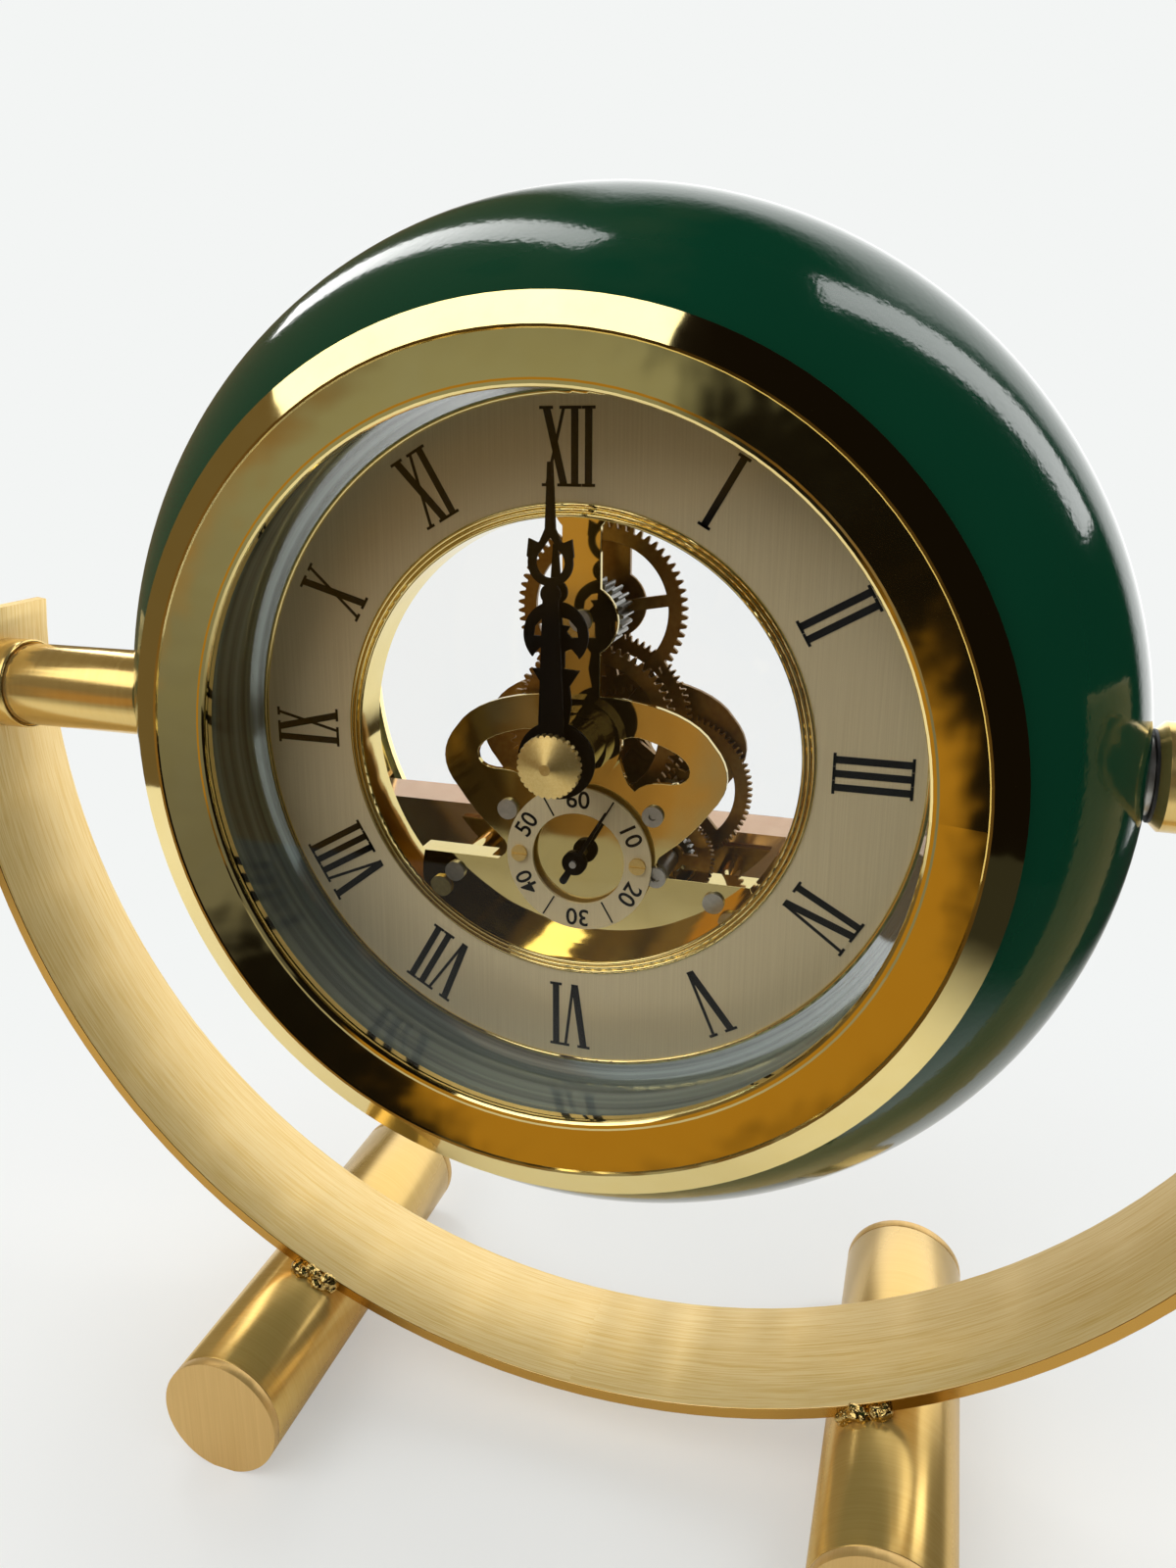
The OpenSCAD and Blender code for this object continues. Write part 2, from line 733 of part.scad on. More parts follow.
// Tube on the front plate that the hour pipe turns in
module centre_bush() {
    color(brass) dial_frame() difference() {
        union() {
            disc(bush_r, plate_back - 0.4, bush_front);
            disc(bush_flange_r, plate_front + seat, plate_front + 2.6);
            disc(bush_r + 1.4, plate_front + seat, plate_front + 6);
        }
        disc(bush_bore, plate_back - over, bush_front + over);
    }
}

module seconds_ring() {
    z = plate_front + 1.2 + seat;
    color(champagne) dial_frame() translate(seconds_at) difference() {
        ring(seconds_hole_r, seconds_r, z, z + 0.8);
        for (x = [-1, 1]) translate([x * seconds_screw_x, 0])
            disc(1 + seat, z - over, z + over);
    }
}

module seconds_posts() {
    color(brass) dial_frame() translate(seconds_at) for (x = [-1, 1])
        translate([x * seconds_screw_x, 0])
            ring(1 + seat, 2, plate_front + seat, plate_front + 1.2);
}

module seconds_screws() {
    z = plate_front + 2 + 2 * seat;
    color(brass) dial_frame() translate(seconds_at) for (x = [-1, 1])
        translate([x * seconds_screw_x, 0]) difference() {
            union() {
                disc(1, plate_back, z);
                disc(1.9, z, z + 0.8);
            }
            translate([-2, -0.2, z + 0.4]) cube([4, 0.4, over]);
        }
}

// Folded rail across the liner that carries the movement and the drive
module cross_rail() {
    tab = rail_tab;
    color(bronze) dial_frame() difference() {
        intersection() {
            union() {
                translate([-liner_r, rail_low, rail_front - rail_t])
                    cube([2 * liner_r, rail_top - rail_low, rail_t]);
                translate([-liner_r, rail_top - rail_t, rail_front - tab])
                    cube([2 * liner_r, rail_t, tab]);
                intersection() {
                    ring(liner_r - 2, liner_r, rail_front - tab, rail_front);
                    translate([-liner_r, rail_low, rail_front - tab])
                        cube([2 * liner_r, rail_top - rail_low, tab]);
                }
            }
            disc(liner_r - 2 * run, rail_front - 2 * tab, rail_front + over);
        }
        for (p = concat(pillar_at, [seconds_at])) translate(p)
            disc(2.4, rail_front - 2 * rail_t, rail_front + over);
        translate(drive_at) disc(pivot_r + 3 * run, rail_front - 2 * rail_t, rail_front + over);
        rail_screw_holes();
    }
}

function rail_angle() = asin((rail_top + rail_low) / 2 / liner_r);

module rail_screw_holes() {
    for (side = [0, 1]) mirror([side, 0, 0]) rotate(rail_angle())
        translate([liner_r - 4, 0, rail_front - tab_screw_back]) rotate([0, 90, 0])
            cylinder(r = tab_screw_r + seat, h = 4 + over);
}

// Screws driven from inside, through the rail's end tabs into the liner
module rail_screws() {
    color(steel) dial_frame() for (side = [0, 1]) mirror([side, 0, 0]) rotate(rail_angle())
        translate([liner_r, 0, rail_front - tab_screw_back]) rotate([0, 90, 0]) {
            translate([0, 0, -2.1 - tab_head_h]) cylinder(r = tab_head_r, h = tab_head_h);
            translate([0, 0, -2.1]) cylinder(r = tab_screw_r, h = 2.05);
        }
}

// Drive pieces

module open_box(x0, x1, cavity) {
    difference() {
        translate([x0, box_top - box_h, box_front - box_depth]) cube([x1 - x0, box_h, box_depth]);
        translate([x0 + box_wall, box_top - box_h + box_wall, box_front - box_depth - over])
            cube([x1 - x0 - 2 * box_wall, box_h - 2 * box_wall, cavity + over]);
    }
}

// Tray for one cell, open at the back
module battery_box() {
    color(bronze) dial_frame() open_box(box_x - box_len, box_x, box_depth - box_wall);
}

module battery() {
    x0 = box_x - box_len / 2 - battery_len / 2;
    color("tan") dial_frame() translate([x0, battery_y, battery_z]) rotate([0, 90, 0]) {
        cylinder(d = battery_d, h = battery_len - 1.3);
        translate([0, 0, battery_len - 1.3]) cylinder(d = 5.5, h = 1.3);
    }
}

// Flat contact for the cap end and a coned spring seat for the other
module battery_contacts() {
    x0 = box_x - box_len + box_wall + seat;
    x1 = box_x - box_wall - seat;
    gap = (box_len - 2 * box_wall - battery_len) / 2;
    color("orangered") dial_frame() {
        for (x = [x0, x1 - contact_t]) translate([x, battery_y - contact_w / 2, battery_z - contact_w / 2])
            cube([contact_t, contact_w, contact_w]);
        translate([x0 + contact_t, battery_y, battery_z]) rotate([0, 90, 0])
            cylinder(r1 = contact_w / 2, r2 = 3, h = gap - contact_t - 3 * seat);
        translate([x1 - gap + 2 * seat, battery_y, battery_z]) rotate([0, 90, 0])
            cylinder(r = contact_w / 5, h = gap - contact_t - 2 * seat);
    }
}

// Closed housing of the stepping motor
module drive_housing() {
    color(black) dial_frame() difference() {
        translate([drive_x[0], box_top - box_h, box_front - box_depth])
            cube([drive_x[1] - drive_x[0], box_h, box_depth]);
        translate(drive_at) disc(pivot_r + run, box_front - 6, box_front + over);
    }
}

// Mirrored points of an outline's right side, in the order that closes it
function flip(side) = [for (i = [len(side) - 1:-1:0]) [-side[i][0], side[i][1]]];

// Train pieces

// Fixed studs riveted into the front plate
module motion_stud() {
    color(steel) dial_frame() translate(motion_at) disc(stud_r, motion_z - 0.4, plate_front);
}

module intermediate_stud() {
    color(steel) dial_frame() translate(mid_at) {
        disc(stud_r, second_z - 1.4, plate_front);
        disc(stud_collar_r, second_z - 1.4, second_z - 0.6 - face);
        disc(stud_collar_r, mid_z + wheel_t + 0.6 + face, plate_back - seat);
    }
}

module minute_arbor() {
    color(steel) dial_frame() {
        disc(minute_r, knob_back, hand_front + hand_t + 3.4);
        disc(minute_r + 1, rear_front + face, centre_z);
    }
}

// Drives the hands: meshes with the third pinion
module centre_wheel() {
    color(bronze) dial_frame()
        wheel(centre_n, centre_m, -shift, centre_z + seat, wheel_t, third_dir, 5, minute_r + seat);
}

// Drives the upper pinion
module centre_show_wheel() {
    color(bronze) dial_frame()
        wheel(show_n, show_m, 0, show_z, wheel_t, 90, 5, minute_r + seat);
}

module cannon_pinion() {
    color(steel) dial_frame() difference() {
        union() {
            gear(cannon_n, motion_m, shift, motion_z - 0.3, motion_z + 1.7, motion_dir);
            disc(minute_r + 0.9, show_z + wheel_t + seat, motion_z);
        }
        disc(minute_r + seat, show_z, motion_z + 3);
    }
}

module minute_outline() {
    k = minute_len / 61;
    loop_y = 41.6 * k;
    side = [[3.6, 41.6], [4.9, 42.8], [4.5, 46.3], [2.4, 45.4], [1.1, 48.2], [0.55, 61]];
    difference() {
        union() {
            circle(r = 4.4 * k, $fn = 48);
            polygon(k * [[-3, 2], [3, 2], [1.6, 35], [-1.6, 35]]);
            translate([0, 35.4 * k]) circle(r = 2.1 * k, $fn = 32);
            translate([0, loop_y]) circle(r = 4.7 * k, $fn = 48);
            polygon(k * concat([[0, 39.6]], side, flip(side)));
        }
        translate([0, loop_y]) circle(r = 3 * k, $fn = 48);
        translate([0, loop_y]) polygon(k * [[-2.76, 1.2], [2.76, 1.2], [0, 5]]);
    }
}

module minute_hand() {
    color(black) dial_frame() translate([0, 0, hand_front]) difference() {
        linear_extrude(hand_t) minute_outline();
        disc(minute_r + seat, -over, hand_t + over);
    }
}

// Barbed shaft, then a crescent pierced by two curled windows, a bead and a tapered tip
module hour_outline() {
    k = hour_len / 45;
    moon_y = 26.6;
    shaft = [[2.4, 6], [3.4, 12.5], [2.9, 16], [5.1, 19.4], [1.7, 19.7], [1.6, 24]];
    tip = [[1.5, 30], [1.1, 37], [0.5, 45]];
    difference() {
        union() {
            circle(r = 8.4 * k, $fn = 64);
            polygon(k * concat(shaft, flip(shaft)));
            translate([0, moon_y * k]) circle(r = 6.9 * k, $fn = 64);
            translate([0, 35.4 * k]) circle(r = 2.5 * k, $fn = 32);
            polygon(k * concat(tip, flip(tip)));
        }
        both_sides() {
            polygon(k * [[1.9, 19.85], [7.2, 19.85], [5.6, 21], [4.6, 22.6], [3.4, 23.9], [1.9, 23.3]]);
            polygon(k * [[1.3, 30.3], [2.9, 29.9], [4.5, 28.2], [4.8, 26.3], [3.3, 26.2], [2.3, 27.3],
                [3.1, 28.5], [1.4, 28.7]]);
        }
    }
}

module hour_hand() {
    color(black) dial_frame() translate([0, 0, hour_z_hand]) difference() {
        linear_extrude(hand_t) hour_outline();
        disc(pipe_r + seat, -over, hand_t + over);
    }
}

// Round nut with a knurled edge and a shallow cone in front
module hand_nut() {
    z = hand_front + hand_t + seat;
    notches = 30;
    color(brass) dial_frame() difference() {
        union() {
            disc(nut_d / 2, z, z + 1.8);
            translate([0, 0, z + 1.8]) cylinder(r1 = nut_d / 2, r2 = 1.2, h = 2.2);
        }
        disc(minute_r + seat, z - over, z + 3.5);
        for (i = [0:notches - 1]) rotate(i * 360 / notches) translate([nut_d / 2, 0, z - over])
            rotate(45) translate([-0.3, -0.3]) cube([0.6, 0.6, 4]);
    }
}

// Thumb knob on the back of the minute arbor
module setting_knob() {
    ribs = 24;
    color(brass) dial_frame() difference() {
        disc(knob_d / 2, knob_back - 1, -plate_rear - 1.6);
        for (i = [0:ribs - 1]) rotate(i * 360 / ribs) translate([knob_d / 2, 0, knob_back - 2])
            rotate(45) translate([-0.35, -0.35]) cube([0.7, 0.7, 20]);
        disc(minute_r + seat, knob_back, -plate_rear);
    }
}

module hour_wheel() {
    color(brass) dial_frame() difference() {
        union() {
            gear(hour_n, motion_m, -shift, hour_z, hour_z + 1.6, motion_dir);
            disc(pipe_r, hour_z, hour_z_hand + hand_t + 0.6);
        }
        disc(pipe_bore, hour_z - over, hand_front);
    }
}

module motion_wheel() {
    color(brass) dial_frame() translate(motion_at) difference() {
        union() {
            gear(minute_n, motion_m, -shift, motion_z, motion_z + wheel_t,
                motion_dir + 180 + 180 / minute_n);
            gear(minute_leaf_n, motion_m, shift, motion_z, plate_back - face,
                motion_dir + 180 + 180 / minute_leaf_n);
        }
        disc(stud_r + run, motion_z - over, plate_back);
    }
}

module third_arbor() {
    color(steel) dial_frame() translate(third_at) {
        arbor();
        gear(leaf_n, centre_m, shift, centre_z - 0.6, centre_z + wheel_t + 0.8,
            third_dir + 180 + 180 / leaf_n);
    }
}

module third_wheel() {
    color(bronze) dial_frame() translate(third_at)
        wheel(third_n, third_m, -shift, third_z, wheel_t, third_seconds_dir + 180, 4.5, arbor_r + seat);
}

module seconds_arbor() {
    color(steel) dial_frame() translate(seconds_at) {
        arbor(plate_front + 6);
        gear(leaf_n, third_m, shift, third_z - 0.5, third_z + wheel_t + 0.6,
            third_seconds_dir + 180 / leaf_n);
    }
}

module seconds_wheel() {
    color(bronze) dial_frame() translate(seconds_at)
        wheel(second_n, seconds_m, 0, second_z, wheel_t, mid_dir, 4, arbor_r + seat);
}

// Slim hand with a round counterweight, at the five second mark
module seconds_hand() {
    z = plate_front + 4.4;
    color(black) dial_frame() translate(seconds_at) rotate(-30) difference() {
        union() {
            disc(2.8, z - 1, z + hand_t);
            translate([0, 0, z]) linear_extrude(hand_t) {
                polygon([[-0.6, 0], [0.6, 0], [0.3, seconds_len], [-0.3, seconds_len]]);
                polygon([[-0.6, 0], [0.6, 0], [0.9, -5], [-0.9, -5]]);
                translate([0, -5]) circle(r = 0.9, $fn = 24);
            }
        }
        disc(pivot_r + seat, z - 2, z + over);
    }
}

// Long leaf pinion in front of the upper show wheel
module upper_arbor() {
    color(steel) dial_frame() translate(upper_at) {
        arbor();
        gear(show_leaf_n, show_m, 0, upper_z + wheel_t + seat, show_z + wheel_t + 1.6,
            270 + 180 / show_leaf_n);
    }
}

module upper_wheel() {
    color(bronze) dial_frame() translate(upper_at)
        wheel(show_n, show_m, 0, upper_z, wheel_t, 3, 4.5, arbor_r + seat);
}

// Pipe with a pinion that turns on its stud
module intermediate_arbor() {
    color(steel) dial_frame() translate(mid_at) difference() {
        union() {
            gear(second_leaf_n, seconds_m, 0, second_z - 0.6, second_z + wheel_t + 0.6,
                mid_dir + 180 + 180 / second_leaf_n);
            disc(mid_pipe_r, second_z - 0.6, mid_z + wheel_t + 0.6);
        }
        disc(stud_r + run, second_z - over, mid_z + 3 * over);
    }
}

module intermediate_wheel() {
    color(bronze) dial_frame() translate(mid_at)
        wheel(mid_n, drive_m, -shift / 2, mid_z, wheel_t, drive_dir, 3.6, mid_pipe_r + seat);
}

module drive_pinion() {
    color(steel) dial_frame() translate(drive_at) {
        disc(pivot_r, box_front - 5, mid_z);
        gear(drive_n, drive_m, shift / 2, mid_z - 0.5, mid_z + wheel_t + 0.6,
            drive_dir + 180 + 180 / drive_n);
    }
}

yoke();
foot_left();
foot_right();
foot_caps();
weld_beads();
rod_left();
rod_right();
rod_collars();
pivot_bolts();
friction_washers();
case_shell();
pivot_sleeves();
liner();
bezel();
glass();
glass_retainer();
rear_ring();
rear_cover();
rear_ring_screws();
chapter_ring();
chapter_edge_ring();
window_rim();
front_plate();
rear_plate();
pillars();
pillar_screws();
pivot_bushes();
centre_bush();
seconds_ring();
seconds_posts();
seconds_screws();
cross_rail();
rail_screws();
battery_box();
battery();
battery_contacts();
drive_housing();
motion_stud();
intermediate_stud();
minute_arbor();
centre_wheel();
centre_show_wheel();
cannon_pinion();
minute_hand();
hand_nut();
setting_knob();
hour_wheel();
hour_hand();
motion_wheel();
third_arbor();
third_wheel();
seconds_arbor();
seconds_wheel();
seconds_hand();
upper_arbor();
upper_wheel();
intermediate_arbor();
intermediate_wheel();
drive_pinion();
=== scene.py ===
"""A skeleton table clock: a ring-shaped case in dark green enamel with a wide gold bezel and an open
movement, hung on two pivots in a half-round yoke of brushed brass bar that stands on two round feet."""
import math
import random

import bpy
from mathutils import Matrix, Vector


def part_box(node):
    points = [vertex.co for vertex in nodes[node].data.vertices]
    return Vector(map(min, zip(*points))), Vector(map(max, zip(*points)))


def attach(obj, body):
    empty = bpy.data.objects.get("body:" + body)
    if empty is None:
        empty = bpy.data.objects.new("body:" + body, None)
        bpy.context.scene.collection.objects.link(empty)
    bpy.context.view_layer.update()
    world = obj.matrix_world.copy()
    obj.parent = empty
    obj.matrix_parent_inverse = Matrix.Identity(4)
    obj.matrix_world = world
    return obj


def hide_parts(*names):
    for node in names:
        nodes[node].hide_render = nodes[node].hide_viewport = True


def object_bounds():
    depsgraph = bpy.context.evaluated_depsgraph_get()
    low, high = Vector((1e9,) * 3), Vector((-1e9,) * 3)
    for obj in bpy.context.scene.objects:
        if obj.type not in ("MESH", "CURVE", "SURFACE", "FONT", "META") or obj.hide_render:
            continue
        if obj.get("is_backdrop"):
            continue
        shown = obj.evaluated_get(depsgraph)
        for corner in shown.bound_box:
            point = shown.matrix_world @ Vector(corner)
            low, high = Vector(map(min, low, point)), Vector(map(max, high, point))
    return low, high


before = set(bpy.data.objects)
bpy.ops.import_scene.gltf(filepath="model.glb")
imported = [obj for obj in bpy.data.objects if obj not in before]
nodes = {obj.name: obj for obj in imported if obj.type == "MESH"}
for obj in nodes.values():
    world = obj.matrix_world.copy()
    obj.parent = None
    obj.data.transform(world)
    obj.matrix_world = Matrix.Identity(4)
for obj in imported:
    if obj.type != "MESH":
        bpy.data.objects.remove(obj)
cad_box = [list(corner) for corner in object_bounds()]
mm = 0.001

# The camera stands close in front, a little to the right and above the pivots, and looks down at the dial.
# The lens is short, so the near foot and the bezel look large.
pivot_z = sum(corner[2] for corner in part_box("case_shell")) / 2
picture_width = 1200
film_width = 36
bpy.ops.object.camera_add(
    location=(74.374 * mm, -250.951 * mm, pivot_z + 70.28 * mm),
    rotation=[math.radians(a) for a in (74.4388, 0.3238, 18.9335)],
)
camera = bpy.context.object
camera.data.sensor_fit = "HORIZONTAL"
camera.data.sensor_width = film_width
camera.data.lens = 1205.3 * film_width / picture_width
camera.data.shift_x = 47.1 / picture_width
camera.data.shift_y = -44.24 / picture_width
camera.data.clip_start = 0.01
bpy.context.scene.camera = camera
bpy.context.scene.view_settings.view_transform = "Standard"

# The table is a white painted board with a faint mottle and little gloss. Its front edge is 0.42 m forward.
# Well before its edges it fades into the white of the room, so that no edge and no horizon shows.
# Bright metal mirrors its near part white; its forward part and right end show painted shade, grey and dark.


def paint(code):
    """An sRGB hex colour as linear RGBA."""
    parts = [int(code[i:i + 2], 16) / 255 for i in (1, 3, 5)]
    return [c / 12.92 if c <= 0.04045 else ((c + 0.055) / 1.055) ** 2.4 for c in parts] + [1]


def put(tree, kind, values=None, **settings):
    """Adds a node, with its settings and its inputs: an input is a value or another node's output."""
    made = tree.nodes.new(kind)
    for key, value in settings.items():
        setattr(made, key, value)
    for key, value in (values or {}).items():
        if isinstance(value, bpy.types.NodeSocket):
            tree.links.new(value, made.inputs[key])
        else:
            made.inputs[key].default_value = value
    return made


def finish(name):
    """A new material, its node tree and its shader."""
    made = bpy.data.materials.new(name)
    made.use_nodes = True
    tree = made.node_tree
    return made, tree, tree.nodes["Principled BSDF"]


def tint(tree, shader, pattern, low, high):
    """Lets a pattern blend the shader's colour between two hex colours."""
    tone = put(tree, "ShaderNodeMix", {"Factor": pattern, "A": paint(low), "B": paint(high)},
               data_type="RGBA")
    tree.links.new(tone.outputs["Result"], shader.inputs["Base Color"])


board_width, board_depth = 1.03, 1.1
board_x, board_y = -0.085, 0.13
room_white = paint("#f3f5f4")
bpy.ops.object.select_all(action="DESELECT")
bpy.ops.mesh.primitive_plane_add(size=1)
table = bpy.context.object
table.name = "table"
bpy.ops.object.mode_set(mode="EDIT")
bpy.ops.transform.resize(value=(board_width, board_depth, 1))
bpy.ops.transform.translate(value=(board_x, board_y, 0))
bpy.ops.object.mode_set(mode="OBJECT")
board, tree, shader = finish("white_painted_board")
where = put(tree, "ShaderNodeTexCoord")
mottle = put(tree, "ShaderNodeTexNoise", {"Vector": where.outputs["Object"], "Scale": 14, "Detail": 6})
tint(tree, shader, mottle.outputs["Fac"], "#f0efec", "#f7f7f4")
shader.inputs["Roughness"].default_value = 0.7
shader.inputs["Specular IOR Level"].default_value = 0.2
spread = put(tree, "ShaderNodeVectorMath", {0: where.outputs["Object"]}, operation="LENGTH")
fade = put(tree, "ShaderNodeMapRange",
           {"Value": spread.outputs["Value"], "From Min": 0.06, "From Max": 0.34, "To Min": 0.4},
           interpolation_type="SMOOTHSTEP")
place = put(tree, "ShaderNodeSeparateXYZ", {"Vector": where.outputs["Object"]})
behind = put(tree, "ShaderNodeMapRange", {"Value": place.outputs["Y"], "From Min": 0.04, "From Max": 0.1})
path = put(tree, "ShaderNodeLightPath")
through = put(tree, "ShaderNodeMath", {0: path.outputs["Is Transmission Ray"], 1: behind.outputs["Result"]},
              operation="MULTIPLY")
looked_at = put(tree, "ShaderNodeMath", {0: path.outputs["Is Camera Ray"], 1: through.outputs["Value"]},
                operation="MAXIMUM")
seen = put(tree, "ShaderNodeMath", {0: fade.outputs["Result"], 1: looked_at.outputs["Value"]},
           operation="MULTIPLY")
glow = put(tree, "ShaderNodeEmission", {"Color": room_white, "Strength": 1})
top = put(tree, "ShaderNodeMixShader",
          {0: seen.outputs["Value"], 1: shader.outputs["BSDF"], 2: glow.outputs["Emission"]})
# Painted shade: an emission, grey in front and dark at the right end, which only glossy rays see instead of
# the lit board.
forward = put(tree, "ShaderNodeMapRange", {"Value": place.outputs["Y"], "From Min": -0.16, "From Max": -0.36},
              interpolation_type="SMOOTHSTEP")
rightward = put(tree, "ShaderNodeMapRange", {"Value": place.outputs["X"], "From Min": 0.14, "From Max": 0.28},
                interpolation_type="SMOOTHSTEP")
away = put(tree, "ShaderNodeMath", {0: forward.outputs["Result"], 1: rightward.outputs["Result"]},
           operation="MAXIMUM")
painted_shade_share = put(tree, "ShaderNodeMath", {0: away.outputs["Value"], 1: path.outputs["Is Glossy Ray"]},
               operation="MULTIPLY")
painted_shade_tone = put(tree, "ShaderNodeMix",
                 {"Factor": rightward.outputs["Result"], "A": (0.3, 0.29, 0.25, 1),
                  "B": (0.03, 0.03, 0.025, 1)}, data_type="RGBA")
shade = put(tree, "ShaderNodeEmission", {"Color": painted_shade_tone.outputs["Result"], "Strength": 1})
near = put(tree, "ShaderNodeMixShader",
           {0: painted_shade_share.outputs["Value"], 1: top.outputs["Shader"], 2: shade.outputs["Emission"]})
tree.links.new(near.outputs["Shader"], tree.nodes["Material Output"].inputs["Surface"])
table.data.materials.append(board)
table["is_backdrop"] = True

# The room has a white wall behind the clock, a dark ceiling, and a dark front with brown and olive things.
# Bright metal mirrors the wall, and the dark front keeps the glass clear and gives the gold its black shapes.
# Low in front are something amber at the left, a grey floor, a black seam between them, and something brown.
world = bpy.data.worlds.new("studio")
bpy.context.scene.world = world
world.use_nodes = True
world.cycles.sampling_method = "NONE"
tree = world.node_tree
where = put(tree, "ShaderNodeTexCoord")
parts = put(tree, "ShaderNodeSeparateXYZ", {"Vector": where.outputs["Generated"]})
turn = put(tree, "ShaderNodeMath", {0: parts.outputs["X"], 1: parts.outputs["Y"]}, operation="ARCTAN2")
from_left = put(tree, "ShaderNodeMapRange",
                {"Value": turn.outputs["Value"], "From Min": -0.5, "From Max": -0.3},
                interpolation_type="SMOOTHSTEP")
to_right = put(tree, "ShaderNodeMapRange", {"Value": turn.outputs["Value"], "From Min": 0.9, "From Max": 0.7},
               interpolation_type="SMOOTHSTEP")
below_ceiling = put(tree, "ShaderNodeMapRange",
                    {"Value": parts.outputs["Z"], "From Min": 0.87, "From Max": 0.73},
                    interpolation_type="SMOOTHSTEP")
width = put(tree, "ShaderNodeMath", {0: from_left.outputs["Result"], 1: to_right.outputs["Result"]},
            operation="MULTIPLY")
wall = put(tree, "ShaderNodeMath", {0: width.outputs["Value"], 1: below_ceiling.outputs["Result"]},
           operation="MULTIPLY")
clutter = put(tree, "ShaderNodeTexNoise", {"Vector": where.outputs["Generated"], "Scale": 3.5, "Detail": 5})
leftward = put(tree, "ShaderNodeMapRange",
               {"Value": parts.outputs["X"], "From Min": 0.3, "From Max": -0.6, "To Min": -0.3,
                "To Max": 0.3})
lit = put(tree, "ShaderNodeMath", {0: clutter.outputs["Fac"], 1: leftward.outputs["Result"]}, operation="ADD")
thing = put(tree, "ShaderNodeMapRange", {"Value": lit.outputs["Value"], "From Min": 0.42, "From Max": 0.66})
dark_room = put(tree, "ShaderNodeMix",
                {"Factor": thing.outputs["Result"], "A": paint("#120e0a"), "B": paint("#6a5c42")},
                data_type="RGBA")
ahead = put(tree, "ShaderNodeMath", {0: parts.outputs["Y"], 1: -1}, operation="MULTIPLY")
aside = put(tree, "ShaderNodeMath", {0: parts.outputs["X"], 1: ahead.outputs["Value"]}, operation="ARCTAN2")
sway = put(tree, "ShaderNodeTexNoise", {"Vector": where.outputs["Generated"], "Scale": 9, "Detail": 3})
drift = put(tree, "ShaderNodeMapRange", {"Value": sway.outputs["Fac"], "To Min": -0.08, "To Max": 0.08})
slant = put(tree, "ShaderNodeMath", {0: aside.outputs["Value"], 1: -0.854, 2: parts.outputs["Z"]},
            operation="MULTIPLY_ADD")
beyond = put(tree, "ShaderNodeMath", {0: slant.outputs["Value"], 1: drift.outputs["Result"]}, operation="ADD")
amber_share = put(tree, "ShaderNodeMapRange",
                  {"Value": beyond.outputs["Value"], "From Min": -0.02, "From Max": 0.05})
seam = put(tree, "ShaderNodeMath", {0: beyond.outputs["Value"], 1: 0.02}, operation="SUBTRACT")
from_seam = put(tree, "ShaderNodeMath", {0: seam.outputs["Value"]}, operation="ABSOLUTE")
black_share = put(tree, "ShaderNodeMapRange",
                  {"Value": from_seam.outputs["Value"], "From Min": 0.09, "From Max": 0.045})
grey_level = put(tree, "ShaderNodeMapRange",
                 {"Value": parts.outputs["Z"], "From Min": -0.22, "From Max": -0.44})
grey_floor = put(tree, "ShaderNodeMix",
                 {"Factor": grey_level.outputs["Result"], "A": (0.15, 0.15, 0.14, 1),
                  "B": (0.27, 0.28, 0.23, 1)}, data_type="RGBA")
floor_tone = put(tree, "ShaderNodeMix",
                 {"Factor": amber_share.outputs["Result"], "A": grey_floor.outputs["Result"],
                  "B": (0.38, 0.2, 0.025, 1)}, data_type="RGBA")
seamed = put(tree, "ShaderNodeMix",
             {"Factor": black_share.outputs["Result"], "A": floor_tone.outputs["Result"],
              "B": (0.006, 0.005, 0.004, 1)}, data_type="RGBA")
spot = put(tree, "ShaderNodeCombineXYZ", {"X": aside.outputs["Value"], "Y": parts.outputs["Z"]})
apart = put(tree, "ShaderNodeVectorMath", {0: spot.outputs["Vector"], 1: (-0.295, -0.27, 0)},
            operation="DISTANCE")
brown_share = put(tree, "ShaderNodeMapRange",
                  {"Value": apart.outputs["Value"], "From Min": 0.145, "From Max": 0.1})
brown_level = put(tree, "ShaderNodeMapRange",
                  {"Value": aside.outputs["Value"], "From Min": -0.38, "From Max": -0.2})
brown = put(tree, "ShaderNodeMix",
            {"Factor": brown_level.outputs["Result"], "A": (0.02, 0.012, 0.004, 1),
             "B": (0.33, 0.19, 0.06, 1)}, data_type="RGBA")
edged = put(tree, "ShaderNodeMix",
            {"Factor": brown_share.outputs["Result"], "A": seamed.outputs["Result"],
             "B": brown.outputs["Result"]}, data_type="RGBA")
beside = put(tree, "ShaderNodeMath", {0: aside.outputs["Value"], 1: 0.3}, operation="ADD")
offset = put(tree, "ShaderNodeMath", {0: beside.outputs["Value"]}, operation="ABSOLUTE")
in_width = put(tree, "ShaderNodeMapRange",
               {"Value": offset.outputs["Value"], "From Min": 0.62, "From Max": 0.5})
in_height = put(tree, "ShaderNodeMapRange",
                {"Value": parts.outputs["Z"], "From Min": 0.03, "From Max": -0.03})
low_front = put(tree, "ShaderNodeMath", {0: in_width.outputs["Result"], 1: in_height.outputs["Result"]},
                operation="MULTIPLY")
front_room = put(tree, "ShaderNodeMix",
                 {"Factor": low_front.outputs["Value"], "A": dark_room.outputs["Result"],
                  "B": edged.outputs["Result"]}, data_type="RGBA")
room = put(tree, "ShaderNodeMix",
           {"Factor": wall.outputs["Value"], "A": front_room.outputs["Result"], "B": (1.8, 1.81, 1.8, 1)},
           data_type="RGBA")
path = put(tree, "ShaderNodeLightPath")
soft = put(tree, "ShaderNodeMix",
           {"Factor": path.outputs["Is Diffuse Ray"], "A": room.outputs["Result"],
            "B": (0.65, 0.65, 0.65, 1)}, data_type="RGBA")
